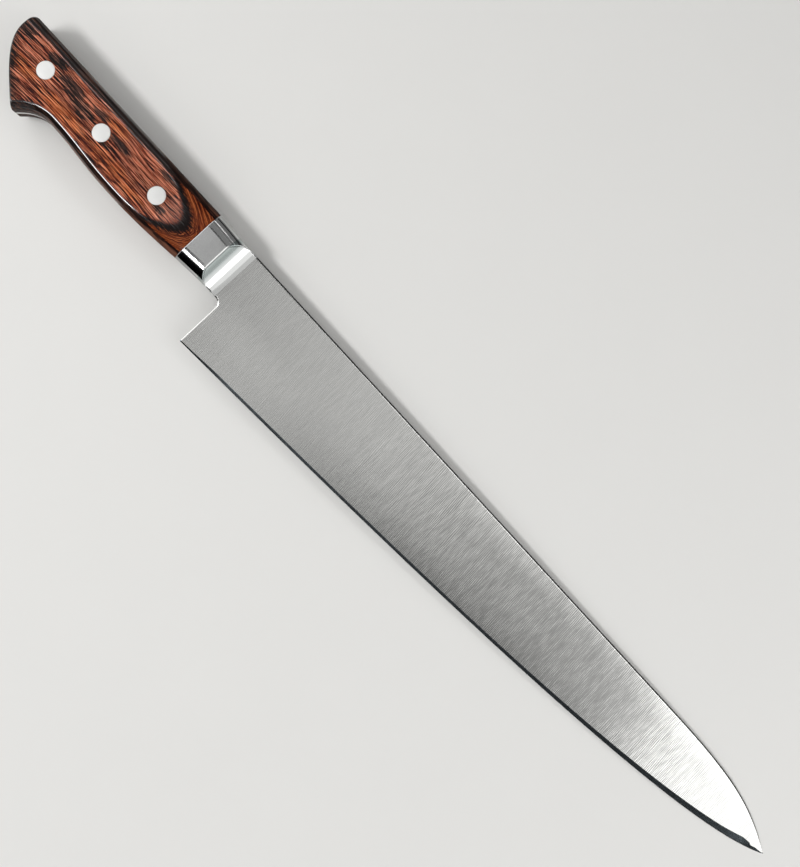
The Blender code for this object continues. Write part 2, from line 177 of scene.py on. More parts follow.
@dataclass(frozen=True)
class BladeLines:
    """The blade's outline and its grind.

    Attributes:
        shoulder_thickness: Thickness of the blade where the bevel starts.
        distal_taper: How late the spine thins towards the tip, as a power.
        bevel_flare: What the bevel gains from bevel_flare_start to where it stops.
        height_in_bevels: How many bevels the blade is high at the least.
    """

    length: float = 0.2700
    heel_height: float = 0.0397
    tip_depth: float = 0.0115
    spine_fall: float = 0.0005
    spine_curve_length: float = 0.0700
    spine_curve_pull: float = 0.0350
    spine_tip_pull: float = 0.0185
    spine_tip_slope: float = 0.60
    edge_heel_slope: float = 0.042
    edge_curve_length: float = 0.0434
    edge_tip_slope: float = 0.52
    edge_tip_pull: float = 0.0121
    spine_thickness: float = 0.0022
    tip_thickness: float = 0.0008
    distal_taper: float = 2.2
    shoulder_thickness: float = 0.0006
    face_convexity: float = 1.15
    point_length: float = 0.0085
    point_share: float = 0.22
    bevel_heel: float = 0.00105
    bevel_tip: float = 0.0028
    bevel_growth: float = 4.5
    bevel_start_share: float = 0.45
    bevel_start_length: float = 0.0200
    bevel_flare: float = 0.0003
    bevel_flare_start: float = 0.0190
    bevel_stop: float = 0.0052
    bevel_stop_length: float = 0.0014
    bevel_stop_share: float = 0.42
    height_in_bevels: float = 3.0
    neck_depth: float = 0.0202
    choil_radius: float = 0.0026

    @cached_property
    def spine_line(self) -> np.ndarray:
        """The top line: nearly straight, then down to the tip."""
        bend = self.length - self.spine_curve_length
        start_slope = 1.0 + self.spine_curve_pull / bend
        drop = cubic(
            (bend, -self.spine_fall),
            (bend + self.spine_curve_pull, -self.spine_fall * start_slope),
            (self.length - self.spine_tip_pull,
             -self.tip_depth + self.spine_tip_pull * self.spine_tip_slope),
            (self.length, -self.tip_depth),
        )
        return joined(np.array([(-self.length, 0.0), (0.0, 0.0), (bend, -self.spine_fall)]), drop)

    @cached_property
    def edge_line(self) -> np.ndarray:
        """The cutting edge: one cubic that is almost straight and then rises to the tip."""
        pull = self.length - self.edge_curve_length
        rise = cubic(
            (0.0, -self.heel_height),
            (pull, -self.heel_height + pull * self.edge_heel_slope),
            (self.length - self.edge_tip_pull,
             -self.tip_depth - self.edge_tip_pull * self.edge_tip_slope),
            (self.length, -self.tip_depth),
        )
        return joined(np.array([(-self.length, -self.heel_height), (0.0, -self.heel_height)]), rise)

    def spine(self, x: float) -> float:
        """Returns the y of the spine at x."""
        return height_at(self.spine_line, x)

    def edge(self, x: float) -> float:
        """Returns the y of the cutting edge at x."""
        return height_at(self.edge_line, x)

    def bevel(self, x: float) -> float:
        """Measures the edge bevel, which stops short just before the tip.

        Args:
            x: Place along the blade.

        Returns:
            The bevel's width.
        """
        along = max(x, 0.0) / self.length
        width = mix(self.bevel_heel, self.bevel_tip, along**self.bevel_growth)
        width *= mix(self.bevel_start_share, 1.0, smooth_step(x, 0.0, self.bevel_start_length))
        flare_start = self.length - self.bevel_flare_start
        stop = self.length - self.bevel_stop
        width += self.bevel_flare * smooth_step(x, flare_start, stop)
        width *= mix(1.0, self.bevel_stop_share, smooth_step(x, stop - self.bevel_stop_length, stop))
        return min(width, (self.spine(x) - self.edge(x)) / self.height_in_bevels)

    def half_thickness(self, x: float, y: float) -> float:
        """Measures the ground face.

        Args:
            x: Place along the blade.
            y: Place across it.

        Returns:
            The height above the middle of the blade.
        """
        along = max(x, 0.0) / self.length
        spine_half = mix(self.spine_thickness, self.tip_thickness, along**self.distal_taper) / 2
        shoulder_half = min(self.shoulder_thickness / 2, spine_half)
        top, shoulder = self.spine(x), self.edge(x) + self.bevel(x)
        depth = min(max((top - y) / max(top - shoulder, TOUCHING), 0.0), 1.0)
        point = smooth_step(x, self.length - self.point_length, self.length)
        ground = mix(spine_half, shoulder_half, depth**self.face_convexity)
        return ground * mix(1.0, self.point_share, point)


@dataclass(frozen=True)
class GripLines:
    """The handle's outline seen from the side, with the bolsters, and its rounded section.

    Attributes:
        crown: How far the back of the handle stands above the spine.
        joint: Where the wood meets the bolster, behind the heel line.
        rim: Width of the rounding along the wood's lower side, and crown_rim of its upper one.
        rim_depth: How far that rounding drops at the outline.
    """

    length: float = 0.1158
    crown: float = 0.0006
    joint: float = 0.0215
    front: float = 0.0056
    neck_depth: float = 0.0202
    joint_depth: float = 0.0211
    belly_depth: float = 0.0229
    waist_depth: float = 0.0213
    waist_setback: float = 0.0126
    nose_depth: float = 0.0278
    nose_setback: float = 0.0185
    butt_depth: float = 0.0048
    crown_corner: float = 0.0020
    thickness: float = 0.0176
    bolster_thickness: float = 0.0163
    rim: float = 0.0030
    crown_rim: float = 0.0033
    bolster_rim: float = 0.0058
    rim_depth: float = 0.0030
    bolster_rim_depth: float = 0.0038
    rim_fullness: float = 2.0
    bolster_fullness: float = 1.95
    face_slope_length: float = 0.0155
    rim_growth_length: float = 0.0285
    butt_edge: float = 0.0005

    @cached_property
    def top_line(self) -> np.ndarray:
        """The upper outline from the bolster's front to the butt."""
        butt, joint, front = -self.length, -self.joint, -self.front
        corner = butt + self.crown_corner
        return joined(
            np.array([(0.0, 0.0), (front, 0.0)]),
            cubic((front, 0.0), (mix(front, joint, 0.4), 0.0),
                  (mix(front, joint, 0.5), self.crown), (joint, self.crown)),
            np.array([(joint, self.crown), (corner, self.crown)]),
            cubic((corner, self.crown), (corner - self.crown_corner * 0.60, self.crown),
                  (butt, -self.butt_depth * 0.25), (butt, -self.butt_depth)),
        )

    @cached_property
    def grip_line(self) -> np.ndarray:
        """The lower outline from the bolster's front to the nose of the beak."""
        nose = -self.length + self.nose_setback
        waist = nose + self.waist_setback
        joint, front = -self.joint, -self.front
        belly = (joint + waist) / 2
        neck_y, joint_y, belly_y = -self.neck_depth, -self.joint_depth, -self.belly_depth
        waist_y, nose_y = -self.waist_depth, -self.nose_depth
        return joined(
            np.array([(0.0, neck_y), (front, neck_y)]),
            cubic((front, neck_y), (mix(front, joint, 0.35), neck_y),
                  (mix(front, joint, 0.65), mix(joint_y, neck_y, 0.2)), (joint, joint_y)),
            cubic((joint, joint_y), (mix(joint, belly, 0.35), mix(joint_y, belly_y, 0.6)),
                  (mix(joint, belly, 0.60), belly_y), (belly, belly_y)),
            cubic((belly, belly_y), (mix(belly, waist, 0.45), belly_y),
                  (mix(belly, waist, 0.60), waist_y), (waist, waist_y)),
            cubic((waist, waist_y), (mix(waist, nose, 0.52), waist_y),
                  (mix(waist, nose, 0.81), mix(waist_y, nose_y, 0.57)), (nose, nose_y)),
        )

    @cached_property
    def end_line(self) -> np.ndarray:
        """The slanted end from the nose of the beak to the butt."""
        nose, butt = -self.length + self.nose_setback, -self.length
        nose_y, butt_y = -self.nose_depth, -self.butt_depth
        return cubic((nose, nose_y), (mix(nose, butt, 0.43), mix(nose_y, butt_y, 0.31)),
                     (butt, mix(nose_y, butt_y, 0.62)), (butt, butt_y))

    @cached_property
    def bottom_line(self) -> np.ndarray:
        """The whole lower outline, the slanted end included."""
        return joined(self.grip_line, self.end_line)

    @cached_property
    def rim_line(self) -> np.ndarray:
        """The lower outline run straight on past the nose, for the rim that follows it."""
        last = self.grip_line[-1]
        return np.vstack([self.grip_line, last + (last - self.grip_line[-2]) * CURVE_STEPS])

    @cached_property
    def butt_curve(self) -> np.ndarray:
        """The sawn end: up the slant and round the crown's corner."""
        corner = self.top_line[self.top_line[:, 0] < -self.length + self.crown_corner]
        return np.vstack([self.end_line, corner[::-1][1:]])

    def top(self, x: float) -> float:
        """Returns the y of the upper outline at x."""
        return height_at(self.top_line, x)

    def bottom(self, x: float) -> float:
        """Returns the y of the lower outline at x."""
        return height_at(self.bottom_line, x)

    def face(self, x: float) -> float:
        """Returns the height of the side's flat middle above the middle of the blade."""
        share = smooth_step(x, -self.joint - self.face_slope_length, -self.joint)
        return mix(self.thickness, self.bolster_thickness, share) / 2

    def height(self, x: float, y: float) -> float:
        """Measures the rounded side.

        The upper rim runs straight out through the butt's corner and the lower rim out through
        the slanted end, whose own edge is only eased.

        Args:
            x: Place along the knife.
            y: Place across it.

        Returns:
            The height above the middle of the blade.
        """
        share = smooth_step(x, -self.joint - self.rim_growth_length, -self.joint)
        radius = mix(self.rim, self.bolster_rim, share)
        depth = mix(self.rim_depth, self.bolster_rim_depth, share)
        fullness = mix(self.rim_fullness, self.bolster_fullness, share)
        crown = self.top(max(x, -self.length + self.crown_corner))
        narrower = mix(self.rim / self.crown_rim, 1.0, share)
        near = min((crown - y) * narrower, distance_to(self.rim_line, x, y))
        drop = rounded(near, radius, fullness) * depth / radius
        if x < -self.length + self.nose_setback + self.rim:
            drop += rounded(distance_to(self.butt_curve, x, y), self.butt_edge)
        return max(self.face(x) - drop, self.face(x) - self.bolster_rim)


# Meshes


@dataclass
class Skin:
    """A surface being built, in which points that fall together are one point.

    Attributes:
        points: The points so far.
        faces: The faces so far, as runs of point numbers.
        finishes: For each face, which of the piece's materials it takes.
        known: The number of each point, by its rounded place.
    """

    points: list[Place] = field(default_factory=list)
    faces: list[tuple[int, ...]] = field(default_factory=list)
    finishes: list[int] = field(default_factory=list)
    known: dict[tuple[int, ...], int] = field(default_factory=dict)

    def point(self, place: Sequence[float]) -> int:
        """Finds the point at a place, or adds it if it is new.

        Args:
            place: The place, as x, y and z.

        Returns:
            The point's number.
        """
        key = tuple(round(value / TOUCHING / 10) for value in place)
        if key not in self.known:
            self.known[key] = len(self.points)
            self.points.append(tuple(float(value) for value in place))
        return self.known[key]

    def face(self, corners: Sequence[Sequence[float]], finish: int = 0) -> None:
        """Adds one face, and leaves it out where its corners fall together.

        Args:
            corners: The corners in order.
            finish: The number of its material.
        """
        numbers = list(dict.fromkeys(self.point(corner) for corner in corners))
        if len(numbers) >= 3:
            self.faces.append(tuple(numbers))
            self.finishes.append(finish)

    def rectangle(self, width: float, height: float) -> None:
        """Adds a level rectangle round the drawing's zero."""
        x, y = width / 2, height / 2
        self.face([(-x, -y, 0.0), (x, -y, 0.0), (x, y, 0.0), (-x, y, 0.0)])

    def grid(self, rows: Rows, finish: int = 0) -> None:
        """Adds the faces between rows of points.

        Args:
            rows: The rows, each with as many points.
            finish: The number of the faces' material.
        """
        for first, second in zip(rows, rows[1:]):
            for i in range(len(first) - 1):
                self.face((first[i], first[i + 1], second[i + 1], second[i]), finish)

    def shell(self, rows: Rows, floor: Rows) -> None:
        """Adds a surface, its floor and the walls between their outlines.

        Args:
            rows: The surface, as rows of points.
            floor: The floor, with a point below each of them.
        """
        self.grid(rows)
        self.grid(floor)
        for edge in (0, -1):
            self.grid([rows[edge], floor[edge]])
            self.grid([[row[edge] for row in rows], [row[edge] for row in floor]])

    def piece(self, name: str, materials: Sequence[Material], sharp_degrees: float = 25.0) -> Object:
        """Turns the surface into an object.

        Args:
            name: The object's name.
            materials: The materials that the faces' finishes number.
            sharp_degrees: The turn between two faces from which their edge looks sharp.

        Returns:
            The object, linked to the scene.
        """
        bm = bmesh.new()
        verts = [bm.verts.new(place) for place in self.points]
        for numbers, finish in zip(self.faces, self.finishes):
            bm.faces.new([verts[number] for number in numbers]).material_index = finish
        bmesh.ops.recalc_face_normals(bm, faces=bm.faces)
        for face in bm.faces:
            face.smooth = True
        for edge in bm.edges:
            turn = edge.calc_face_angle(math.pi)
            same_finish = len({face.material_index for face in edge.link_faces}) == 1
            edge.smooth = same_finish and turn < math.radians(sharp_degrees)
        mesh = bpy.data.meshes.new(name)
        bm.to_mesh(mesh)
        bm.free()
        along = mesh.uv_layers.new(name=GRAIN)
        for corner in mesh.loops:
            along.data[corner.index].uv = mesh.vertices[corner.vertex_index].co.xy
        thing = bpy.data.objects.new(name, mesh)
        bpy.context.scene.collection.objects.link(thing)
        for material in materials:
            mesh.materials.append(material)
        return thing


def flipped(rows: Rows) -> list[list[Place]]:
    """Returns the same grid on the other side of the blade's middle."""
    return [[(x, y, -z) for x, y, z in row] for row in rows]


def turned(profile: Sequence[Pair], sides: int, centre: Pair, skin: Skin) -> None:
    """Turns a profile about an axis along Z and adds it to a skin.

    Args:
        profile: Radius and height pairs from one end of the piece to the other.
        sides: How many faces go round.
        centre: The axis, as x and y.
        skin: The surface that takes the faces.
    """
    angles = [2.0 * math.pi * i / sides for i in range(sides)]
    x, y = centre
    rings = [
        [(x + radius * math.cos(angle), y + radius * math.sin(angle), height) for angle in angles]
        for radius, height in profile
    ]
    skin.grid([ring + ring[:1] for ring in rings])
    for ring in (rings[0], rings[-1]):
        skin.face(ring)


def cut(thing: Object, cutter: Object) -> None:
    """Cuts a closed shape out of a piece for good.

    Args:
        thing: The piece.
        cutter: The closed shape, which is removed afterwards.
    """
    modifier = thing.modifiers.new("hole", "BOOLEAN")
    modifier.operation = "DIFFERENCE"
    modifier.solver = "EXACT"
    modifier.object = cutter
    graph = bpy.context.evaluated_depsgraph_get()
    mesh = bpy.data.meshes.new_from_object(thing.evaluated_get(graph))
    thing.modifiers.clear()
    old = thing.data
    thing.data = mesh
    bpy.data.meshes.remove(old)
    mesh.name = thing.name
    bpy.data.objects.remove(cutter)


# Node trees


def shaded(colour: Colour, factor: float) -> Colour:
    """Returns a colour made darker or lighter, up to white."""
    return tuple(min(value * factor, 1.0) for value in colour[:3]) + (1.0,)


class Wiring:
    """A material's tree or a group's tree while it is wired."""

    def __init__(self, tree: NodeTree) -> None:
        """Starts on a tree, with its first node at the left."""
        self.tree = tree

    def feed(self, socket: Socket, value: object) -> None:
        """Links a socket into another, or sets its value.

        Args:
            socket: The input that takes the value.
            value: Another node's socket, or a plain number, vector or colour.
        """
        if isinstance(value, Socket):
            self.tree.links.new(value, socket)
        else:
            socket.default_value = value

    def add(self, kind: str, options: dict[str, object] | None = None, **inputs: object) -> Node:
        """Adds a node.

        Args:
            kind: The node's type.
            options: Properties to set on the node.
            inputs: Sockets to link or set, with an underscore for each space in their names.

        Returns:
            The new node.
        """
        node = self.tree.nodes.new(kind)
        node.location = (NODE_SPACING * len(self.tree.nodes), 0.0)
        for name, value in (options or {}).items():
            setattr(node, name, value)
        for name, value in inputs.items():
            self.feed(node.inputs[name.replace("_", " ")], value)
        return node

    def fed(self, kind: str, operation: str, *values: object) -> Node:
        """Adds a Math or Vector Math node and feeds its inputs in their order.

        Args:
            kind: The node's type.
            operation: What the node does.
            values: What its inputs take.

        Returns:
            The new node.
        """
        node = self.add(kind, {"operation": operation})
        for socket, value in zip(node.inputs, values):
            self.feed(socket, value)
        return node

    def math(self, operation: str, *values: object) -> Socket:
        """Returns the result of a Math node."""
        return self.fed("ShaderNodeMath", operation, *values).outputs[0]

    def vector_math(self, operation: str, *values: object) -> Socket:
        """Returns the vector that a Vector Math node gives."""
        return self.fed("ShaderNodeVectorMath", operation, *values).outputs[0]

    def plus(self, first: object, second: object) -> Socket:
        """Returns the sum of two numbers."""
        return self.math("ADD", first, second)

    def minus(self, first: object, second: object) -> Socket:
        """Returns the first number less the second."""
        return self.math("SUBTRACT", first, second)

    def times(self, first: object, second: object) -> Socket:
        """Returns the product of two numbers."""
        return self.math("MULTIPLY", first, second)

    def weighed(self, value: object, weight: object, base: object) -> Socket:
        """Returns a base with a value added in proportion to its weight."""
        return self.math("MULTIPLY_ADD", value, weight, base)

    def higher(self, first: object, second: object) -> Socket:
        """Returns the higher of two numbers."""
        return self.math("MAXIMUM", first, second)

    def scaled(self, vector: Socket, scale: Sequence[float],
               shift: Sequence[float] = (0.0, 0.0, 0.0)) -> Socket:
        """Returns a vector multiplied and then moved, each axis by its own value."""
        return self.vector_math("MULTIPLY_ADD", vector, tuple(scale), tuple(shift))

    def parts(self, vector: Socket) -> tuple[Socket, Socket, Socket]:
        """Returns a vector's x, y and z."""
        return tuple(self.add("ShaderNodeSeparateXYZ", Vector=vector).outputs)

    def joined(self, x: object, y: object, z: object) -> Socket:
        """Returns a vector from its x, y and z."""
        return self.add("ShaderNodeCombineXYZ", X=x, Y=y, Z=z).outputs[0]

    def noise(self, vector: Socket, scale: float = 1.0, detail: float = 2.0,
              roughness: float = 0.5) -> Socket:
        """Returns a noise texture's value."""
        return self.add("ShaderNodeTexNoise", Vector=vector, Scale=scale, Detail=detail,
                        Roughness=roughness).outputs[0]

    def step(self, value: object, start: float, end: float, low: object = 0.0,
             high: object = 1.0) -> Socket:
        """Returns low before start and high after end, with an even turn between."""
        return self.add("ShaderNodeMapRange", {"interpolation_type": "SMOOTHSTEP"}, Value=value,
                        From_Min=start, From_Max=end, To_Min=low, To_Max=high).outputs[0]

    def uneven(self, value: Socket, middle: float, least: float, most: float) -> Socket:
        """Returns a number that varies with a noise, between two shares of its middle."""
        return self.step(value, *NOISE_RANGE, middle * least, middle * most)

    def blend(self, share: object, first: object, second: object) -> Socket:
        """Returns the mix of two colours.

        Args:
            share: How much of the second there is.
            first: The colour at a share of 0.
            second: The colour at a share of 1.

        Returns:
            The mixed colour's socket.
        """
        node = self.add("ShaderNodeMix", {"data_type": "RGBA"})
        for number, value in ((0, share), (6, first), (7, second)):
            self.feed(node.inputs[number], value)
        return node.outputs[2]

    def ramp(self, value: Socket, stops: Ramp) -> Socket:
        """Returns the colour of a ramp at a value.

        Args:
            value: Where on the ramp to look.
            stops: The ramp's places and their colours, from low to high.

        Returns:
            The colour's socket.
        """
        node = self.add("ShaderNodeValToRGB", Fac=value)
        elements = node.color_ramp.elements
        while len(elements) < len(stops):
            elements.new(0.5)
        for element, (position, colour) in zip(elements, stops):
            element.position = position
            element.color = colour
        return node.outputs[0]

    def group(self, tree: NodeTree, **inputs: object) -> Node:
        """Adds a node group with its inputs linked or set."""
        return self.add("ShaderNodeGroup", {"node_tree": tree}, **inputs)


def new_group(name: str, inputs: Sequence[tuple[str, str]],
              outputs: Sequence[tuple[str, str]]) -> tuple[Wiring, Node, Node]:
    """Starts a shader node group.

    Args:
        name: The group's name.
        inputs: Names and socket types of what goes in.
        outputs: Names and socket types of what comes out.

    Returns:
        The group's wiring, its input node and its output node.
    """
    tree = bpy.data.node_groups.new(name, "ShaderNodeTree")
    for way, sockets in (("INPUT", inputs), ("OUTPUT", outputs)):
        for socket_name, kind in sockets:
            tree.interface.new_socket(name=socket_name, in_out=way, socket_type=kind)
    wiring = Wiring(tree)
    return wiring, wiring.add("NodeGroupInput"), wiring.add("NodeGroupOutput")


@dataclass(frozen=True)
class GrindingMarks:
    """The fine parallel marks that a belt or wheel leaves.

    Scales are changes per millimetre along each axis.

    Attributes:
        drift: How far the marks wander sideways, in marks.
        gather_range: Values of the gathering noise between which the marks grow strong.
        faintest: What is left of the marks in a faint place.
    """

    drift: float = 2.2
    drift_scale: Place = (0.25, 0.035, 0.25)
    gather_scale: Place = (0.45, 0.16, 0.45)
    gather_range: Pair = (0.40, 0.62)
    faintest: float = 0.45
    comb_height: float = 0.20
    fine_scale: float = 1.3
    fine_height: float = 0.48
    uneven_scale: Place = (0.11, 0.16, 0.16)

    def build(self) -> NodeTree:
        """Builds the marks as a group.

        Returns:
            A group that takes a place in millimetres and the marks per millimetre along each
            axis, and gives the marks' height and a broad unevenness, both from 0 to 1.
        """
        wiring, given, result = new_group(
            "grinding_marks",
            (("Place", VECTOR), ("Marks", VECTOR)),
            (("Height", NUMBER), ("Unevenness", NUMBER)),
        )
        place = given.outputs["Place"]
        counted = wiring.vector_math("MULTIPLY", place, given.outputs["Marks"])
        x, y, z = wiring.parts(counted)
        drift = wiring.noise(wiring.scaled(place, self.drift_scale))
        turns = wiring.weighed(drift, self.drift, wiring.plus(wiring.plus(x, y), z))
        comb = wiring.math("SINE", wiring.times(turns, 2.0 * math.pi))
        gather = wiring.noise(wiring.scaled(place, self.gather_scale))
        seen = wiring.step(gather, *self.gather_range, self.faintest, 1.0)
        fine = wiring.noise(counted, scale=self.fine_scale)
        loose = wiring.weighed(fine, self.fine_height, 0.5 - self.fine_height / 2)
        height = wiring.weighed(wiring.times(comb, seen), self.comb_height, loose)
        uneven = wiring.noise(wiring.scaled(place, self.uneven_scale), detail=3.0)
        wiring.feed(result.inputs["Height"], height)
        wiring.feed(result.inputs["Unevenness"], uneven)
        return wiring.tree


@dataclass(frozen=True)
class StrayScratches:
    """The sparse hairline scratches of wiping and use.

    Attributes:
        runs: For each direction, its turn in radians and how close its scratches lie.
        scale: Changes per millimetre along a scratch and across it.
        hairline: Half the width of a scratch, as a step of the noise.
        worn_range: Values of the broad noise between which the scratches begin.
    """

    runs: tuple[Pair, ...] = ((0.35, 0.9), (-0.55, 1.2))
    scale: Pair = (0.12, 6.0)
    hairline: float = 0.012
    worn_scale: float = 0.15
    worn_range: Pair = (0.5, 0.62)

    def build(self) -> NodeTree:
        """Builds the scratches as a group.

        Returns:
            A group that takes a place in millimetres and gives a mask of the scratches.
        """
        wiring, given, result = new_group("stray_scratches", (("Place", VECTOR),), (("Mask", NUMBER),))
        place = given.outputs["Place"]
        masks = []
        for turn, closeness in self.runs:
            rotated = wiring.add("ShaderNodeVectorRotate", {"rotation_type": "Z_AXIS"},
                                 Vector=place, Angle=turn).outputs[0]
            stretch = (closeness * self.scale[0], closeness * self.scale[1], 1.0)
            lines = wiring.noise(wiring.scaled(rotated, stretch), detail=1.0)
            near = wiring.math("ABSOLUTE", wiring.minus(lines, 0.5))
            masks.append(wiring.step(near, self.hairline, 0.0))
        worn = wiring.noise(wiring.scaled(place, (self.worn_scale,) * 3))
        mask = wiring.times(wiring.higher(*masks), wiring.step(worn, *self.worn_range))
        wiring.feed(result.inputs["Mask"], mask)
        return wiring.tree


@dataclass(frozen=True)
class DyePatch:
    """A soft-edged place where wood took its dye otherwise.

    Attributes:
        ragged_scale: How fast the edge wanders, per millimetre along each axis.
        ragged_reach: How far it wanders, as a share of the patch's reach.
    """

    ragged_scale: Place = (0.22, 1.1, 0.0)
    ragged_reach: float = 1.6
    edge_range: Pair = (1.15, 0.45)

    def build(self) -> NodeTree:
        """Builds the patch as a group.

        Returns:
            A group that takes a place, the patch's centre and its reach, all in millimetres,
            and gives a mask.
        """
        wiring, given, result = new_group(
            "dye_patch",
            (("Place", VECTOR), ("Centre", VECTOR), ("Reach", VECTOR)),
            (("Mask", NUMBER),),
        )
        place = given.outputs["Place"]
        away = wiring.vector_math("SUBTRACT", place, given.outputs["Centre"])
        share = wiring.vector_math("DIVIDE", away, given.outputs["Reach"])
        length = wiring.fed("ShaderNodeVectorMath", "LENGTH", share).outputs[1]
        ragged = wiring.noise(wiring.scaled(place, self.ragged_scale), detail=3.0)
        edge = wiring.plus(length, wiring.times(wiring.minus(ragged, 0.5), self.ragged_reach))
        wiring.feed(result.inputs["Mask"], wiring.step(edge, *self.edge_range))
        return wiring.tree


class Effects:
    """The shader node groups, each built once."""

    def __init__(self) -> None:
        """Builds the groups."""
        self.marks = GrindingMarks().build()
        self.scratches = StrayScratches().build()
        self.patch = DyePatch().build()


class Work(Wiring):
    """A material while a finish is wired into it.

    Attributes:
        material: The material, and shader its Principled shader.
        effects: The shader node groups.
        place: The place in millimetres, and x, y and z its parts.
    """

    def __init__(self, name: str, effects: Effects) -> None:
        """Starts a material.

        Args:
            name: The material's name.
            effects: The shader node groups.
        """
        self.material = bpy.data.materials.new(name)
        self.material.use_nodes = True
        super().__init__(self.material.node_tree)
        self.shader = self.tree.nodes["Principled BSDF"]
        self.effects = effects
        coordinates = self.add("ShaderNodeTexCoord").outputs["Object"]
        self.place = self.scaled(coordinates, (MM, MM, MM))
        self.x, self.y, self.z = self.parts(self.place)

    def shade(self, **inputs: object) -> None:
        """Links or sets the shader's inputs, with an underscore for each space in a name."""
        for name, value in inputs.items():
            self.feed(self.shader.inputs[name.replace("_", " ")], value)

    def bump(self, height: Socket, distance: float) -> None:
        """Roughens the surface with a relief from 0 to 1 that is so many metres high."""
        bump = self.add("ShaderNodeBump", Strength=1.0, Distance=distance, Height=height)
        self.shade(Normal=bump.outputs[0])

    def marks(self, marks: Place) -> tuple[Socket, Socket]:
        """Returns the height and the unevenness of so many grinding marks per millimetre."""
        found = self.group(self.effects.marks, Place=self.place, Marks=marks).outputs
        return found["Height"], found["Unevenness"]

    def scratches(self) -> Socket:
        """Returns a mask of stray scratches."""
        return self.group(self.effects.scratches, Place=self.place).outputs["Mask"]

    def measured(self, name: str) -> Socket:
        """Returns what was measured at each point of the piece under this name."""
        return self.add("ShaderNodeAttribute", {"attribute_name": name}).outputs["Fac"]


# Finishes


class Finish:
    """What a surface is made of."""

    def dress(self, work: Work) -> None:
        """Wires the finish into a material."""
        raise NotImplementedError

    def material(self, name: str, effects: Effects) -> Material:
        """Builds the finish as a material.

        Args:
            name: The material's name.
            effects: The shader node groups.

        Returns:
            The material.
        """
        work = Work(name, effects)
        self.dress(work)
        return work.material


@dataclass(frozen=True)
class GroundSteel(Finish):
    """Steel with the parallel marks of grinding.

    Places are in millimetres, and a pair of them says where a change begins and is full.

    Attributes:
        marks: Marks per millimetre along X, Y and Z, few along the way the belt ran.
        shade: How much the marks lighten and darken the metal.
        darkest: The darkening at a shade of 1.
        tones: Places of the dark, the plain and the pale metal on the ramp of the marks.
        faintest: What is left of the marks before shade_starts and after shade_ends.
        depth: Height of the marks in metres.
        stretch: How far the marks draw out the highlight.
        painted_shade_depth: Painted shade: how much darker the middle of the blade is painted, where
            its reflection is dim.
        painted_spine_highlight: Painted highlight: how much paler the metal is painted near the spine,
            and painted_heel_highlight towards the edge next to the heel.
    """

    colour: Colour = (0.55, 0.55, 0.538, 1.0)
    roughness: float = 0.20
    scratch_roughness: float = 0.06
    marks: Place = (1.75, 0.16, 0.5)
    shade: float = 0.20
    darkest: float = 2.4
    palest: float = 2.0
    tones: Place = (0.25, 0.50, 0.75)
    shade_starts: Pair = (50.0, 115.0)
    shade_ends: Pair = (250.0, 215.0)
    faintest: float = 0.35
    painted_shade_starts: Pair = (60.0, 180.0)
    painted_shade_ends: Pair = (226.0, 188.0)
    painted_shade_depth: float = -0.24
    spine_highlight_across: Pair = (-9.0, -1.0)
    spine_highlight_along: Pair = (80.0, 125.0)
    painted_spine_highlight: float = 0.14
    heel_highlight_across: Pair = (-14.0, -28.0)
    heel_highlight_along: Pair = (65.0, 15.0)
    painted_heel_highlight: float = 0.10
    depth: float = 0.000004
    stretch: float = 0.85

    def dress(self, work: Work) -> None:
        """Wires the finish.

        Args:
            work: The material's wiring.
        """
        height, uneven = work.marks(self.marks)
        x, y = work.x, work.y
        strong = work.times(work.step(x, *self.shade_starts, self.faintest, 1.0),
                            work.step(x, *self.shade_ends, self.faintest, 1.0))
        # Painted shade: darker from x 60, most at x 180 to 188, gone by x 226.
        painted_shade = work.times(work.step(x, *self.painted_shade_starts), work.step(x, *self.painted_shade_ends))
        # Painted highlights: paler near the spine from x 80 on, and towards the edge next to the heel.
        spine_highlight = work.times(work.step(y, *self.spine_highlight_across), work.step(x, *self.spine_highlight_along))
        heel = work.times(work.step(y, *self.heel_highlight_across), work.step(x, *self.heel_highlight_along))
        centred = work.weighed(painted_shade, self.painted_shade_depth, work.minus(height, 0.5))
        centred = work.weighed(spine_highlight, self.painted_spine_highlight, centred)
        tone = work.weighed(centred, strong, work.weighed(heel, self.painted_heel_highlight, 0.5))

        dark = shaded(self.colour, 1.0 - self.shade * self.darkest)
        pale = shaded(self.colour, 1.0 + self.shade * self.palest)
        tones = tuple(zip(self.tones, (dark, self.colour, pale)))
        rough = work.uneven(uneven, self.roughness, 0.95, 1.05)
        tangent = work.add("ShaderNodeTangent", {"direction_type": "UV_MAP", "uv_map": GRAIN})
        work.bump(height, self.depth)
        work.shade(
            Base_Color=work.ramp(tone, tones),
            Roughness=work.weighed(work.scratches(), self.scratch_roughness, rough),
            Metallic=1.0, Anisotropic=self.stretch, Tangent=tangent.outputs[0],
        )


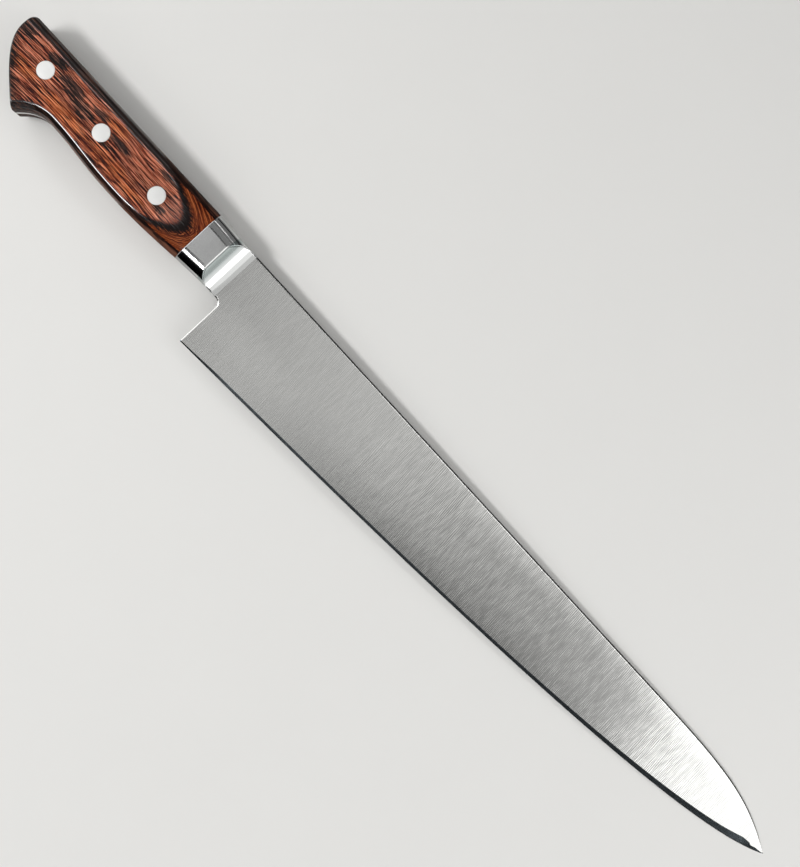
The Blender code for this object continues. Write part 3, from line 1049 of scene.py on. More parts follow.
@dataclass(frozen=True)
class PolishedSteel(Finish):
    """Buffed steel with faint wiping scratches and a little unevenness.

    Places are in millimetres, and a pair of them says where a change begins and is full.

    Attributes:
        painted_shade_colour: Painted shade: the darker colour painted high in the hollow, where its
            reflection is dark.
        painted_side_shade_colour: Painted shade: the darker colour painted on the narrow sides, where
            their reflection is dark.
        ripple: Height of the buffing wheel's ripple in metres.
    """

    colour: Colour = (0.62, 0.625, 0.62, 1.0)
    painted_shade_colour: Colour = (0.37, 0.41, 0.405, 1.0)
    painted_shade_starts: Pair = (-11.35, -11.15)
    painted_shade_ends: Pair = (-7.6, -10.2)
    painted_side_shade_colour: Colour = (0.40, 0.405, 0.40, 1.0)
    upper_side_shade: Pair = (-0.45, 0.05)
    lower_side_shade: Pair = (-19.85, -20.15)
    roughness: float = 0.085
    scratch_roughness: float = 0.12
    marks: Place = (1.6, 0.5, 0.8)
    mark_height: float = 0.12
    ripple: float = 0.000006
    ripple_scale: Place = (0.5, 0.35, 0.5)

    def dress(self, work: Work) -> None:
        """Wires the finish.

        Args:
            work: The material's wiring.
        """
        height, uneven = work.marks(self.marks)
        x, y = work.x, work.y
        # Painted shade: darker high in the hollow and on the narrow sides.
        painted_shade = work.times(work.step(x, *self.painted_shade_starts), work.step(x, *self.painted_shade_ends))
        side = work.higher(work.step(y, *self.upper_side_shade), work.step(y, *self.lower_side_shade))
        colour = work.blend(painted_shade, self.colour, self.painted_shade_colour)
        rough = work.uneven(uneven, self.roughness, 0.85, 1.2)
        ripple = work.noise(work.scaled(work.place, self.ripple_scale))
        work.bump(work.weighed(height, self.mark_height, ripple), self.ripple)
        work.shade(
            Base_Color=work.blend(side, colour, self.painted_side_shade_colour),
            Roughness=work.weighed(work.scratches(), self.scratch_roughness, rough),
            Metallic=1.0,
        )


BLACK_VENEER: Colour = (0.0045, 0.0020, 0.0018, 1.0)


@dataclass(frozen=True)
class Patch:
    """A place in a scale's wood that took its dye otherwise, in millimetres."""

    x: float
    y: float
    length: float
    width: float


@dataclass(frozen=True)
class Streaks:
    """The streaks of a laminate's veneers, as a value round one half.

    Scales are changes per millimetre along each axis, and the other sizes are millimetres.

    Attributes:
        sway: How far the streaks bend aside in long waves, and ripple in short ones.
        layers: For each layer, its changes per millimetre along and across, and its share.
        line_width: Steps of noise between which a dark pore line fades in.
        pore_depth: How much a pore line lowers the value.
        ring_ripple: How far the short waves bend the rings round the cut.
    """

    sway: float = 2.6
    sway_scale: Place = (0.040, 0.10, 0.3)
    ripple: float = 0.40
    ripple_scale: Place = (0.22, 0.45, 0.6)
    layers: tuple[Place, Place] = ((0.068, 3.9, 0.62), (0.120, 7.0, 0.38))
    layer_depth: float = 0.7
    line_scale: Pair = (0.055, 1.7)
    line_level: float = 9.0
    line_width: Pair = (0.045, 0.012)
    broken_scale: Place = (0.11, 0.9, 0.5)
    broken_range: Pair = (0.42, 0.56)
    pore_depth: float = -0.110
    ring_ripple: float = 2.2
    ring_scale: Pair = (3.3, 0.16)

    def wired(self, work: Work, cut: Socket, seed: float) -> tuple[Socket, Socket]:
        """Wires the streaks of the outer veneer and of the veneer below the black one.

        Args:
            work: The material's wiring.
            cut: How far the place lies beyond the cut through the veneers.
            seed: Shifts the grain, so that two scales differ.

        Returns:
            The streaks' value along the handle, and round the cut near the bolster.
        """
        x, y, z, place = work.x, work.y, work.z, work.place
        sway = work.noise(work.scaled(place, self.sway_scale, (seed, 0.0, 0.0)), detail=1.0)
        ripple = work.noise(work.scaled(place, self.ripple_scale, (seed, 3.0, 0.0)))
        moved = work.weighed(ripple, self.ripple, work.weighed(sway, self.sway, y))
        layers = []
        for lengthwise, across, share in self.layers:
            layer = work.joined(work.weighed(x, lengthwise, seed + across),
                                work.times(moved, across), work.times(z, self.layer_depth))
            layers.append(work.times(work.noise(layer), share))
        body = work.plus(*layers)

        lengthwise, across = self.line_scale
        line = work.joined(work.weighed(x, lengthwise, seed), work.times(moved, across),
                           self.line_level)
        off = work.math("ABSOLUTE", work.minus(work.noise(line, detail=1.0), 0.5))
        broken = work.noise(work.scaled(place, self.broken_scale, (seed, 7.0, 0.0)))
        pores = work.times(work.step(off, *self.line_width), work.step(broken, *self.broken_range))
        body = work.weighed(pores, self.pore_depth, body)

        away, across = self.ring_scale
        ring = work.times(work.weighed(ripple, self.ring_ripple, cut), away)
        round_cut = work.joined(ring, work.weighed(y, across, seed), 0.0)
        return body, work.noise(round_cut, detail=3.0, roughness=0.6)


@dataclass(frozen=True)
class Lacquer:
    """The gloss over a scale: full on its face, and buffed off the flanks.

    Attributes:
        flank_mm: How far below the face it begins to go, and has gone.
        beak_mm: How much sooner it goes past beak_range, in millimetres.
        flank_gloss: What is left of it on a flank, and what the lower rim adds.
        notch_loss: What the flank loses in the notch in front of the beak.
    """

    cut_loss: float = -0.93
    flank_mm: Pair = (2.0, 3.6)
    beak_range: Pair = (-80.0, -90.0)
    beak_mm: float = 1.3
    flank_gloss: Pair = (0.10, 0.25)
    notch_along: Pair = (-86.0, -92.0)
    notch_across: Pair = (-19.0, -21.0)
    notch_loss: float = -0.10
    roughness: float = 0.06
    ior: float = 1.55

    def apply(self, work: Work, below: Socket, under: Socket, beyond_cut: Socket) -> None:
        """Lays the gloss on the wood.

        Args:
            work: The material's wiring.
            below: The depth below the scale's face, in millimetres.
            under: A mask of the lower rim in front of the beak.
            beyond_cut: A mask of all that lies beyond the first edge of the cut.
        """
        x, y = work.x, work.y
        left = work.weighed(beyond_cut, self.cut_loss, 1.0)
        down = work.weighed(work.step(x, *self.beak_range), self.beak_mm, below)
        face = work.minus(1.0, work.step(down, *self.flank_mm))
        notch = work.times(work.step(x, *self.notch_along), work.step(y, *self.notch_across))
        plain_gloss, lower_gloss = self.flank_gloss
        flank = work.weighed(notch, self.notch_loss, work.weighed(under, lower_gloss, plain_gloss))
        work.shade(Coat_Weight=work.times(left, work.higher(face, flank)),
                   Coat_Roughness=self.roughness, Coat_IOR=self.ior)


@dataclass(frozen=True)
class Pakkawood(Finish):
    """Resin-filled wood laminate, dyed red-brown and buffed to a gloss.

    The outer veneer's streaks run along the handle. A black veneer lies under it, which the slope
    towards the bolster and the rounded rims cut through, and an orange-brown one under that. On the
    rims the black is deepened with painted shade, and further down turns browner with a painted
    reflection of the table.

    A pair of places in millimetres says where a change begins and is full.

    Attributes:
        dark: Places with dark streaks, and warm those with orange ones.
        cut_apex_mm: Where the cut through the black veneer reaches furthest to the bolster.
        cut_middle_mm: The middle of that bowed cut, from the spine.
        cut_bow: How strongly the cut bows back towards the rims, per millimetre.
        cut_ragged_mm: How far the streaks push the cut to and fro.
        rim_start_mm: How far below the face the rims turn dark.
        bolster_rim_mm: What that is more next to the bolster, where the rims are wider.
        rim_table_reflection: Painted reflection of the table: how brown the rims turn further down, and
            what the lower rim adds.
        butt_shade_mm: How far from the butt the darker border has ended and where it starts.
        fibre_colour: How much the fibres move the value of the outer and the inner veneer.
    """

    seed: float = 0.0
    dark: tuple[Patch, ...] = ()
    warm: tuple[Patch, ...] = ()
    streaks: Streaks = Streaks()
    lacquer: Lacquer = Lacquer()
    cut_apex_mm: float = -26.6
    cut_middle_mm: float = -11.3
    cut_bow: float = 0.16
    cut_ragged_mm: float = 17.0
    black_width_mm: float = 3.9
    black_fade_mm: Pair = (-0.9, 0.3)
    veneer_fade_mm: Pair = (-0.5, 0.9)
    rim_start_mm: Pair = (0.007, 0.035)
    bolster_rim_mm: float = 0.65
    bolster_rim_range: Pair = (-46.0, -28.0)
    rim_grain_scale: Place = (0.10, 1.6, 1.6)
    rim_reflection_mm: Pair = (0.5, 1.8)
    rim_table_reflection: Pair = (0.08, 0.22)
    lower_rim_range: Pair = (-13.0, -17.0)
    beak_range: Pair = (-92.0, -80.0)
    butt_shade_mm: Pair = (4.2, 1.4)
    butt_ragged_mm: float = 22.0
    fibre_scale: Place = (0.9, 9.0, 3.0)
    fibre_colour: Pair = (0.18, 0.22)
    fibre_height: float = 0.35
    dark_range: Pair = (0.30, 0.72)
    dark_contrast: float = 4.5
    rough_range: Pair = (0.35, 0.65)
    roughness: Pair = (0.55, 0.38)
    specular: float = 0.05
    relief: float = 0.000020
    red_ramp: Ramp = (
        (0.460, (0.004, 0.001, 0.001, 1.0)),
        (0.488, (0.060, 0.009, 0.004, 1.0)),
        (0.519, (0.230, 0.040, 0.016, 1.0)),
        (0.553, (0.540, 0.150, 0.076, 1.0)),
        (0.605, (0.760, 0.300, 0.180, 1.0)),
    )
    orange_ramp: Ramp = (
        (0.450, (0.008, 0.002, 0.001, 1.0)),
        (0.478, (0.120, 0.020, 0.005, 1.0)),
        (0.514, (0.370, 0.070, 0.019, 1.0)),
        (0.555, (0.690, 0.195, 0.068, 1.0)),
        (0.610, (0.840, 0.320, 0.140, 1.0)),
    )
    smoky_ramp: Ramp = (
        (0.420, (0.003, 0.002, 0.002, 1.0)),
        (0.510, (0.020, 0.008, 0.006, 1.0)),
        (0.600, (0.140, 0.062, 0.048, 1.0)),
    )
    veneer_ramp: Ramp = (
        (0.425, (0.005, 0.001, 0.001, 1.0)),
        (0.480, (0.060, 0.010, 0.003, 1.0)),
        (0.545, (0.210, 0.038, 0.009, 1.0)),
        (0.640, (0.520, 0.150, 0.045, 1.0)),
    )
    # The rims: black veneer deepened with painted shade, then the brown of a painted reflection of the
    # table.
    rim_veneer_and_shade_ramp: Ramp = (
        (0.46, BLACK_VENEER),
        (0.58, (0.018, 0.007, 0.005, 1.0)),
        (0.78, (0.125, 0.050, 0.030, 1.0)),
    )

    def patches(self, work: Work, patches: tuple[Patch, ...]) -> Socket | float:
        """Wires one mask for several patches.

        Args:
            work: The material's wiring.
            patches: The patches.

        Returns:
            The mask.
        """
        mask: Socket | float = 0.0
        for patch in patches:
            found = work.group(work.effects.patch, Place=work.place, Centre=(patch.x, patch.y, 0.0),
                               Reach=(patch.length / 2, patch.width / 2, FAR_MM))
            mask = work.higher(found.outputs["Mask"], mask)
        return mask

    def cut_distance(self, work: Work) -> Socket:
        """Wires how far a place lies beyond the bowed cut, in millimetres.

        Args:
            work: The material's wiring.

        Returns:
            The distance's socket.
        """
        off = work.minus(work.y, self.cut_middle_mm)
        bow = work.times(work.times(off, off), self.cut_bow)
        return work.plus(work.minus(work.x, self.cut_apex_mm), bow)

    def rim_colour_and_painted_light(self, work: Work, below: Socket, under: Socket) -> Socket:
        """Wires the colour along the rims: the black veneer's cut, deepened with painted shade, and
        browner further down with a painted reflection of the table.

        Args:
            work: The material's wiring.
            below: The depth below the scale's face, in millimetres.
            under: A mask of the lower rim in front of the beak.

        Returns:
            The colour's socket.
        """
        fine = work.scaled(work.place, self.rim_grain_scale, (self.seed, 5.0, 0.0))
        grain = work.noise(fine, detail=3.0, roughness=0.6)
        # Painted reflection of the table: browner further below the face, more on the lower rim.
        plain_reflection, lower_reflection = self.rim_table_reflection
        brown = work.times(work.step(below, *self.rim_reflection_mm),
                           work.weighed(under, lower_reflection, plain_reflection))
        return work.ramp(work.plus(brown, grain), self.rim_veneer_and_shade_ramp)

    def dress(self, work: Work) -> None:
        """Wires the finish.

        Args:
            work: The material's wiring.
        """
        cut = self.cut_distance(work)
        body, beyond = self.streaks.wired(work, cut, self.seed)
        fine = work.scaled(work.place, self.fibre_scale, (self.seed, 0.0, 0.0))
        fibre = work.noise(fine, detail=3.0, roughness=0.7)
        fuzz = work.minus(fibre, 0.5)
        value = work.weighed(fuzz, self.fibre_colour[0], body)
        centred = work.minus(value, 0.5)
        red, orange, smoky = (work.ramp(value, ramp) for ramp in
                              (self.red_ramp, self.orange_ramp, self.smoky_ramp))
        veneer = work.ramp(work.weighed(fuzz, self.fibre_colour[1], beyond), self.veneer_ramp)

        dark = work.weighed(centred, -self.dark_contrast, self.patches(work, self.dark))
        colour = work.blend(self.patches(work, self.warm), red, orange)
        colour = work.blend(work.step(dark, *self.dark_range), colour, smoky)

        ragged = work.weighed(centred, self.cut_ragged_mm, cut)
        half = self.black_width_mm / 2
        in_black = work.step(ragged, *(fade - half for fade in self.black_fade_mm))
        in_veneer = work.step(ragged, *(fade + half for fade in self.veneer_fade_mm))
        colour = work.blend(in_black, colour, BLACK_VENEER)
        colour = work.blend(in_veneer, colour, veneer)

        sawn = work.weighed(centred, self.butt_ragged_mm, work.measured(FROM_BUTT))
        colour = work.blend(work.step(sawn, *self.butt_shade_mm), colour, smoky)

        x, y, below = work.x, work.y, work.measured(BELOW_FACE)
        under = work.times(work.step(y, *self.lower_rim_range), work.step(x, *self.beak_range))
        wide_rim = work.step(x, *self.bolster_rim_range, 0.0, self.bolster_rim_mm)
        # The rims' dark is partly the black veneer and partly painted shade.
        on_rim = work.step(work.minus(below, wide_rim), *self.rim_start_mm)
        work.bump(work.weighed(fibre, self.fibre_height, body), self.relief)
        work.shade(
            Base_Color=work.blend(on_rim, colour, self.rim_colour_and_painted_light(work, below, under)),
            Roughness=work.step(value, *self.rough_range, *self.roughness),
            Specular_IOR_Level=self.specular,
        )
        self.lacquer.apply(work, below, under, in_black)


@dataclass(frozen=True)
class RivetMetal(Finish):
    """Nickel silver, ground flush with the wood and lightly buffed.

    Attributes:
        shade: How dark it is in the marks, next to its own colour.
    """

    colour: Colour = (0.86, 0.86, 0.845, 1.0)
    shade: float = 0.95
    roughness: float = 0.28
    uneven_scale: Place = (0.45, 0.6, 0.6)
    marks: Place = (0.35, 4.5, 1.0)
    depth: float = 0.000001

    def dress(self, work: Work) -> None:
        """Wires the finish.

        Args:
            work: The material's wiring.
        """
        height, _ = work.marks(self.marks)
        uneven = work.noise(work.scaled(work.place, self.uneven_scale), detail=3.0)
        tones = ((0.30, shaded(self.colour, self.shade)), (0.70, self.colour))
        work.bump(height, self.depth)
        work.shade(Base_Color=work.ramp(height, tones), Metallic=1.0,
                   Roughness=work.uneven(uneven, self.roughness, 0.98, 1.03))


# Sub-assemblies


@dataclass
class Blade:
    """The blade and its neck, as far back as the bolsters hide it.

    Attributes:
        lines: The blade's outline and grind.
        root: Where the neck ends inside the bolsters.
        chamfer: Width of the chamfer along the spine and the heel.
        crease: Width of the flatter strip between the chamfer and the face.
        support: Distance from a fold to the points that keep the strips beside it flat.
        heel_share: How wide the chamfer is along the neck and the heel, next to the spine's.
        ease_starts: How far behind the heel line the chamfer fades in, up to ease_full.
        steel_left: How much of the half thickness the chamfers may take.
        height_in_chamfers: The height of a half face below which its chamfer narrows.
    """

    lines: BladeLines
    root: float = 0.0090
    chamfer: float = 0.00048
    chamfer_slope: float = 0.73
    crease: float = 0.00026
    crease_slope: float = 0.305
    support: float = 0.00003
    heel_share: float = 0.60
    ease_starts: float = 0.0050
    ease_full: float = 0.0036
    steel_left: float = 0.8
    height_in_chamfers: float = 8.0
    tip_crowding: float = 1.35
    stations: int = 230
    neck_columns: int = 40
    choil_columns: int = 30
    rows: int = 14

    @cached_property
    def easing(self) -> list[float]:
        """Distances from a chamfered edge to the points that shape it."""
        inner, near = self.chamfer + self.crease, self.support
        return [0.0, self.chamfer - near, self.chamfer, self.chamfer + near,
                inner - near, inner, inner + near]

    @cached_property
    def heel_easing(self) -> list[float]:
        """The same along the neck and the heel."""
        return [inset * self.heel_share for inset in self.easing]

    def eased(self, inside: float) -> float:
        """Returns how far the full chamfer has dropped at a distance from the edge."""
        flatter = min(max(self.chamfer + self.crease - inside, 0.0), self.crease)
        return flatter * self.crease_slope + max(self.chamfer - inside, 0.0) * self.chamfer_slope

    def thin(self, x: float, y: float) -> float:
        """Returns how much smaller the chamfer is at a point, to leave steel between two."""
        return min(1.0, self.lines.half_thickness(x, y) * self.steel_left / self.eased(0.0))

    def surface(self, x: float, y: float, inside: float, squeeze: float = 1.0) -> Place:
        """Returns the point of the front face at x and y.

        Args:
            x: Place along the blade.
            y: Place across it.
            inside: Distance from the nearest chamfered edge.
            squeeze: How much narrower the chamfer is here.

        Returns:
            The point, with the chamfer taken off, which fades out under the bolsters.
        """
        drop = self.eased(inside / squeeze) * min(squeeze, self.thin(x, y))
        shown = smooth_step(x, -self.ease_starts, -self.ease_full)
        return x, y, self.lines.half_thickness(x, y) - drop * shown

    def path(self) -> list[tuple[float, float, float, float]]:
        """Returns the neck's lower edge and the choil, as points and the way into the steel."""
        lines = self.lines
        radius, corner_y = lines.choil_radius, -lines.neck_depth - lines.choil_radius
        neck = [(mix(-self.root, -radius, i / self.neck_columns), -lines.neck_depth, 0.0, 1.0)
                for i in range(self.neck_columns)]
        turns = [math.radians(90.0 * (1.0 - i / self.choil_columns))
                 for i in range(self.choil_columns + 1)]
        arc = [
            (-radius + radius * math.cos(turn), corner_y + radius * math.sin(turn),
             math.cos(turn), math.sin(turn))
            for turn in turns
        ]
        return neck + arc

    def heel_stations(self) -> list[float]:
        """Returns places along the blade from just inside the heel to just short of the tip."""
        start, length = self.heel_easing[-1], self.lines.length
        shares = [i / self.stations for i in range(self.stations)]
        return [mix(start, length, 1.0 - (1.0 - share) ** self.tip_crowding) for share in shares]

    def column(self, x: float, top: float, bottom: float) -> list[Place]:
        """Places one column of the face.

        Args:
            x: Place along the blade.
            top: The column's upper end.
            bottom: Its lower end.

        Returns:
            The points from top to bottom, eased along the spine.
        """
        least = self.chamfer * self.height_in_chamfers
        squeeze = min(1.0, (top - bottom) / least, self.thin(x, top))
        insets = [inset * squeeze for inset in self.easing]
        eased = [self.surface(x, top - inset, inset, squeeze) for inset in insets]
        below = spread(top - insets[-1], bottom, self.rows)
        return eased + [self.surface(x, y, self.easing[-1]) for y in below]

    def build(self, materials: Sequence[Material]) -> Object:
        """Builds the blade from its eased face, its bevel and its walls, on both sides.

        Args:
            materials: The face's, the bevel's and the walls' finishes.

        Returns:
            The blade.
        """
        lines, path, along = self.lines, self.path(), self.heel_stations()
        skin = Skin()
        split = path[-1][1]
        heel_top, heel_low = lines.spine(0.0), lines.edge(0.0) + lines.bevel(0.0)
        share = (heel_top - split) / (heel_top - heel_low)

        strip = [
            [self.surface(x + dx * inset, y + dy * inset, inset, self.heel_share)
             for inset in self.heel_easing]
            for x, y, dx, dy in path
        ]
        upper = [self.column(x, lines.spine(x), y) for x, y, _ in (row[-1] for row in strip)]
        lower, bevel = [], []
        for x in self.heel_easing[:-1] + along:
            top, low = lines.spine(x), lines.edge(x) + lines.bevel(x)
            middle = split if x <= along[0] else mix(top, low, share)
            if x > along[0]:
                upper.append(self.column(x, top, middle))
            rows = [middle] + spread(middle, low, self.rows)
            points = [self.surface(x, y, x, self.heel_share) for y in rows]
            lower.append(points)
            bevel.append([points[-1], (x, lines.edge(x), 0.0)])
        tip = (lines.length, -lines.tip_depth, 0.0)

        for turn in (list, flipped):
            for grid, finish in ((upper, 0), (strip, 0), (lower, 0), (bevel, 1)):
                placed = turn(grid)
                skin.grid(placed, finish)
                if grid is not strip:
                    for first, second in zip(placed[-1], placed[-1][1:]):
                        skin.face((first, second, tip), finish)
        root = upper[0] + strip[0][::-1][1:]
        walls = (
            [column[0] for column in upper] + [tip],
            root,
            [ring[0] for ring in strip],
            lower[0] + bevel[0][1:],
        )
        for wall in walls:
            skin.grid([wall] + flipped([wall]), 2)
        return skin.piece("blade", materials)


@dataclass
class Tang:
    """The flat tang, flush with the scales all round."""

    grip: GripLines
    thickness: float = 0.0020
    start: float = 0.0090

    def build(self, material: Material) -> Object:
        """Builds the tang as a plate with the handle's outline.

        Args:
            material: The tang's finish.

        Returns:
            The tang.
        """
        front = -self.start - HAIRLINE
        grip = self.grip
        outline = [(front, grip.top(front))]
        outline += [(x, y) for x, y in grip.top_line if x < front]
        outline += [(x, y) for x, y in grip.bottom_line[::-1][1:] if x < front]
        outline += [(front, grip.bottom(front))]
        half = self.thickness / 2
        skin = Skin()
        faces = [[(x, y, level) for x, y in outline] for level in (half, -half)]
        for face in faces:
            skin.face(face)
        skin.grid([face + face[:1] for face in faces])
        return skin.piece("tang", [material])


@dataclass
class Bolster:
    """One bolster half: a polished block, hollow-ground in front down to the blade's face.

    Attributes:
        lines: The blade, on whose face the ramp runs out.
        ramp_radius: Radius of the wheel that ground the hollow.
        ramp_end: Where the hollow runs out, behind the heel line.
        ridge_radius: Radius of the rounded ridge.
        ridge_turn: How far the ridge turns down, in degrees, before the hollow takes over.
        wall_reach: Run of the upright wall over which the ridge's bowed ends stand.
        upper_corner: The ridge's bow towards the spine, as places along the knife and depths
            inside the outline, for one cubic curve.
        lower_corner: The same towards the cutting edge.
        joint_ease: Width of the chamfer along the wood.
        crease: Distance from a crease to the points that keep the flat next to it flat.
        edge_ease: Width of the rounding along the hollow's outline.
    """

    grip: GripLines
    lines: BladeLines
    side: Side
    tang_half: float = 0.0010
    ramp_radius: float = 0.0090
    ramp_end: float = 0.0026
    feather: float = 0.0030
    ridge_radius: float = 0.0005
    ridge_turn: float = 75.0
    wall_reach: float = 0.00003
    upper_corner: tuple[Pair, ...] = (
        (-0.0114, 0.0054), (-0.0102, 0.0038), (-0.0093, 0.0006), (-0.0054, 0.00015),
    )
    lower_corner: tuple[Pair, ...] = (
        (-0.0114, 0.0054), (-0.0112, 0.0036), (-0.0096, 0.0008), (-0.0070, 0.0001),
    )
    edge_ease: float = 0.00035
    joint_ease: float = 0.00026
    joint_slope: float = 0.58
    crease: float = 0.00006
    edge_shares: tuple[float, ...] = (0.0, 0.13, 0.5, 1.0)
    rim_rows: int = 18
    row_spacing: float = 1.3
    middle_rows: int = 8
    halvings: int = 40
    body_columns: int = 16
    ridge_columns: int = 9
    ramp_columns: int = 44

    @property
    def ridge_before(self) -> float:
        """How far behind the sharp ridge its rounding starts."""
        return self.ridge_radius * math.tan(math.radians(self.ridge_turn / 2))

    @property
    def ridge_after(self) -> float:
        """How far in front of the sharp ridge its rounding ends."""
        return self.ridge_radius * math.sin(math.radians(self.ridge_turn)) - self.ridge_before

    def hollow(self, x: float, y: float) -> float:
        """Measures the hollow-ground ramp.

        Args:
            x: Place along the knife.
            y: Place across it.

        Returns:
            The height above the middle of the blade, and a metre where the wheel never came.
        """
        behind = max(-self.ramp_end - x, 0.0)
        if behind >= self.ramp_radius:
            return 1.0
        rise = self.ramp_radius - math.sqrt(self.ramp_radius**2 - behind**2)
        return self.lines.half_thickness(x, y) + rise

    def height(self, x: float, y: float, ridge: float) -> float:
        """Measures the bolster's surface, with its ridge and its edges rounded.

        Args:
            x: Place along the knife.
            y: Place across it.
            ridge: Where the ridge stands on this row.

        Returns:
            The height above the middle of the blade.
        """
        joint = max(self.joint_ease - self.grip.joint - x, 0.0) * self.joint_slope
        if x < ridge + self.ridge_after:
            end = ridge - self.ridge_before + self.ridge_radius
            level = self.grip.height(x, y) - joint - rounded(end - x, self.ridge_radius)
        else:
            inside = min(self.grip.top(x) - y, y - self.grip.bottom(x))
            level = self.hollow(x, y) - rounded(inside, self.edge_ease)
        return max(level, self.seat(x, y) + HAIRLINE / 4)

    def seat(self, x: float, y: float) -> float:
        """Returns the height of the steel that the bolster sits on, with a hairline between."""
        return max(self.lines.half_thickness(x, y), self.tang_half) + HAIRLINE / 2

    def across(self, x: float, share: float) -> float:
        """Returns the y at a share of the way from the upper outline to the lower."""
        return mix(self.grip.top(x), self.grip.bottom(x), share)

    def ridge(self, share: float) -> float:
        """Finds where the block ends and the hollow starts.

        Args:
            share: A line along the bolster, by its share of the way down.

        Returns:
            The ridge's place along the knife.
        """
        low, high = -self.ramp_end - self.ramp_radius, -self.ramp_end
        for _ in range(self.halvings):
            x = (low + high) / 2
            y = self.across(x, share)
            if self.hollow(x, y) > self.grip.height(x, y):
                low = x
            else:
                high = x
        inside = (1.0 - share if share > 0.5 else share) * self.grip.joint_depth
        corner = cubic(*(self.lower_corner if share > 0.5 else self.upper_corner))
        return max(low, float(np.interp(-inside, -corner[:, 1], corner[:, 0])))

    def shares(self) -> list[float]:
        """Returns the rows across the bolster, closest together over the rims."""
        depth = self.grip.joint_depth
        rim = self.grip.bolster_rim / depth
        small = [self.edge_ease / depth * share for share in self.edge_shares]
        turns = [math.radians(90.0 * i / self.rim_rows) for i in range(self.rim_rows + 1)]
        curved = [rim * (1.0 - math.cos(turn)) for turn in turns]
        near = small + [share for share in curved if share > small[-1] * self.row_spacing]
        middle = spread(near[-1], 1.0 - near[-1], self.middle_rows)[:-1]
        return near + middle + [1.0 - share for share in reversed(near)]

    def build(self, material: Material) -> Object:
        """Builds the bolster in rows from the joint over the ridge to the feathered edge.

        Args:
            material: The bolster's finish.

        Returns:
            The bolster.
        """
        joint = -self.grip.joint
        eased = joint + self.joint_ease
        flat = eased + self.crease
        turns = [math.radians(self.ridge_turn * i / self.ridge_columns)
                 for i in range(1, self.ridge_columns)]
        rows, seats = [], []
        for share in self.shares():
            ridge = self.ridge(share)
            back = ridge - self.ridge_before
            front = ridge + self.ridge_after + self.wall_reach
            places = [joint, eased, flat]
            places += spread(flat, back - self.crease, self.body_columns)
            places += [back] + [back + self.ridge_radius * math.sin(turn) for turn in turns]
            places += [ridge + self.ridge_after - JUST_SHORT, front]
            places += spread(front, -self.feather, self.ramp_columns)
            points = [(x, self.across(x, share)) for x in places]
            rows.append([(x, y, self.height(x, y, ridge) * self.side.value) for x, y in points])
            seats.append([(x, y, self.seat(x, y) * self.side.value) for x, y in points])
        skin = Skin()
        skin.shell(rows, seats)
        name = f"bolster_{self.side.name.lower()}_polished"
        return skin.piece(name, [material])


@dataclass
class Rivet:
    """One cutler's rivet: a post driven into a sleeve, both with flush heads.

    Attributes:
        face: Height of the scale's face above the middle of the blade.
        head_dome: How much higher the middle of a head stands than its edge.
        post_short: How far the post ends short of the other head.
    """

    number: int
    x: float
    y: float
    face: float
    head_radius: float = 0.00325
    head_depth: float = 0.0022
    head_chamfer: float = 0.00007
    head_dome: float = 0.00004
    hole_gap: float = 0.00003
    post_radius: float = 0.0012
    post_gap: float = 0.0001
    post_short: float = 0.0010
    sleeve_wall: float = 0.0007
    sleeve_past: float = 0.0030
    dome_rings: int = 6
    sides: int = 72

    @property
    def under_head(self) -> float:
        """Height of the underside of a head above the middle of the blade."""
        return self.face - self.head_depth

    def head(self) -> list[Pair]:
        """Returns the profile of a head from its middle to its underside."""
        rings = self.dome_rings
        domed = [(self.head_radius * i / rings, self.face - self.head_dome * (i / rings) ** 2)
                 for i in range(1, rings)]
        rim = self.head_radius - self.head_chamfer
        return domed + [
            (rim, self.face - self.head_dome),
            (self.head_radius, self.face - self.head_dome - self.head_chamfer),
            (self.head_radius, self.under_head),
        ]

    def build(self, material: Material) -> list[Object]:
        """Builds the rivet's two pieces.

        Args:
            material: The rivet's finish.

        Returns:
            The post and the sleeve.
        """
        bore = self.post_radius + self.post_gap
        end = self.post_short - self.under_head
        post = self.head() + [(self.post_radius, self.under_head), (self.post_radius, end)]
        sleeve = [(radius, -height) for radius, height in self.head()]
        outer = bore + self.sleeve_wall
        sleeve += [(outer, -self.under_head), (outer, self.sleeve_past), (bore, self.sleeve_past),
                   (bore, -self.under_head)]
        pieces = []
        for name, profile in (("post", post), ("sleeve", sleeve)):
            skin = Skin()
            turned(profile, self.sides, (self.x, self.y), skin)
            pieces.append(skin.piece(f"rivet_{self.number}_{name}_turned", [material]))
        return pieces

    def hole(self) -> Object:
        """Returns the cutter for the rivet's stepped hole through a scale."""
        through = self.face * 2
        head = self.head_radius + self.hole_gap
        shank = self.post_radius + self.post_gap + self.sleeve_wall + self.hole_gap
        step = self.under_head - self.hole_gap
        profile = [(head, through), (head, step), (shank, step), (shank, -step), (head, -step),
                   (head, -through)]
        skin = Skin()
        turned(profile, self.sides, (self.x, self.y), skin)
        return skin.piece("hole", [])


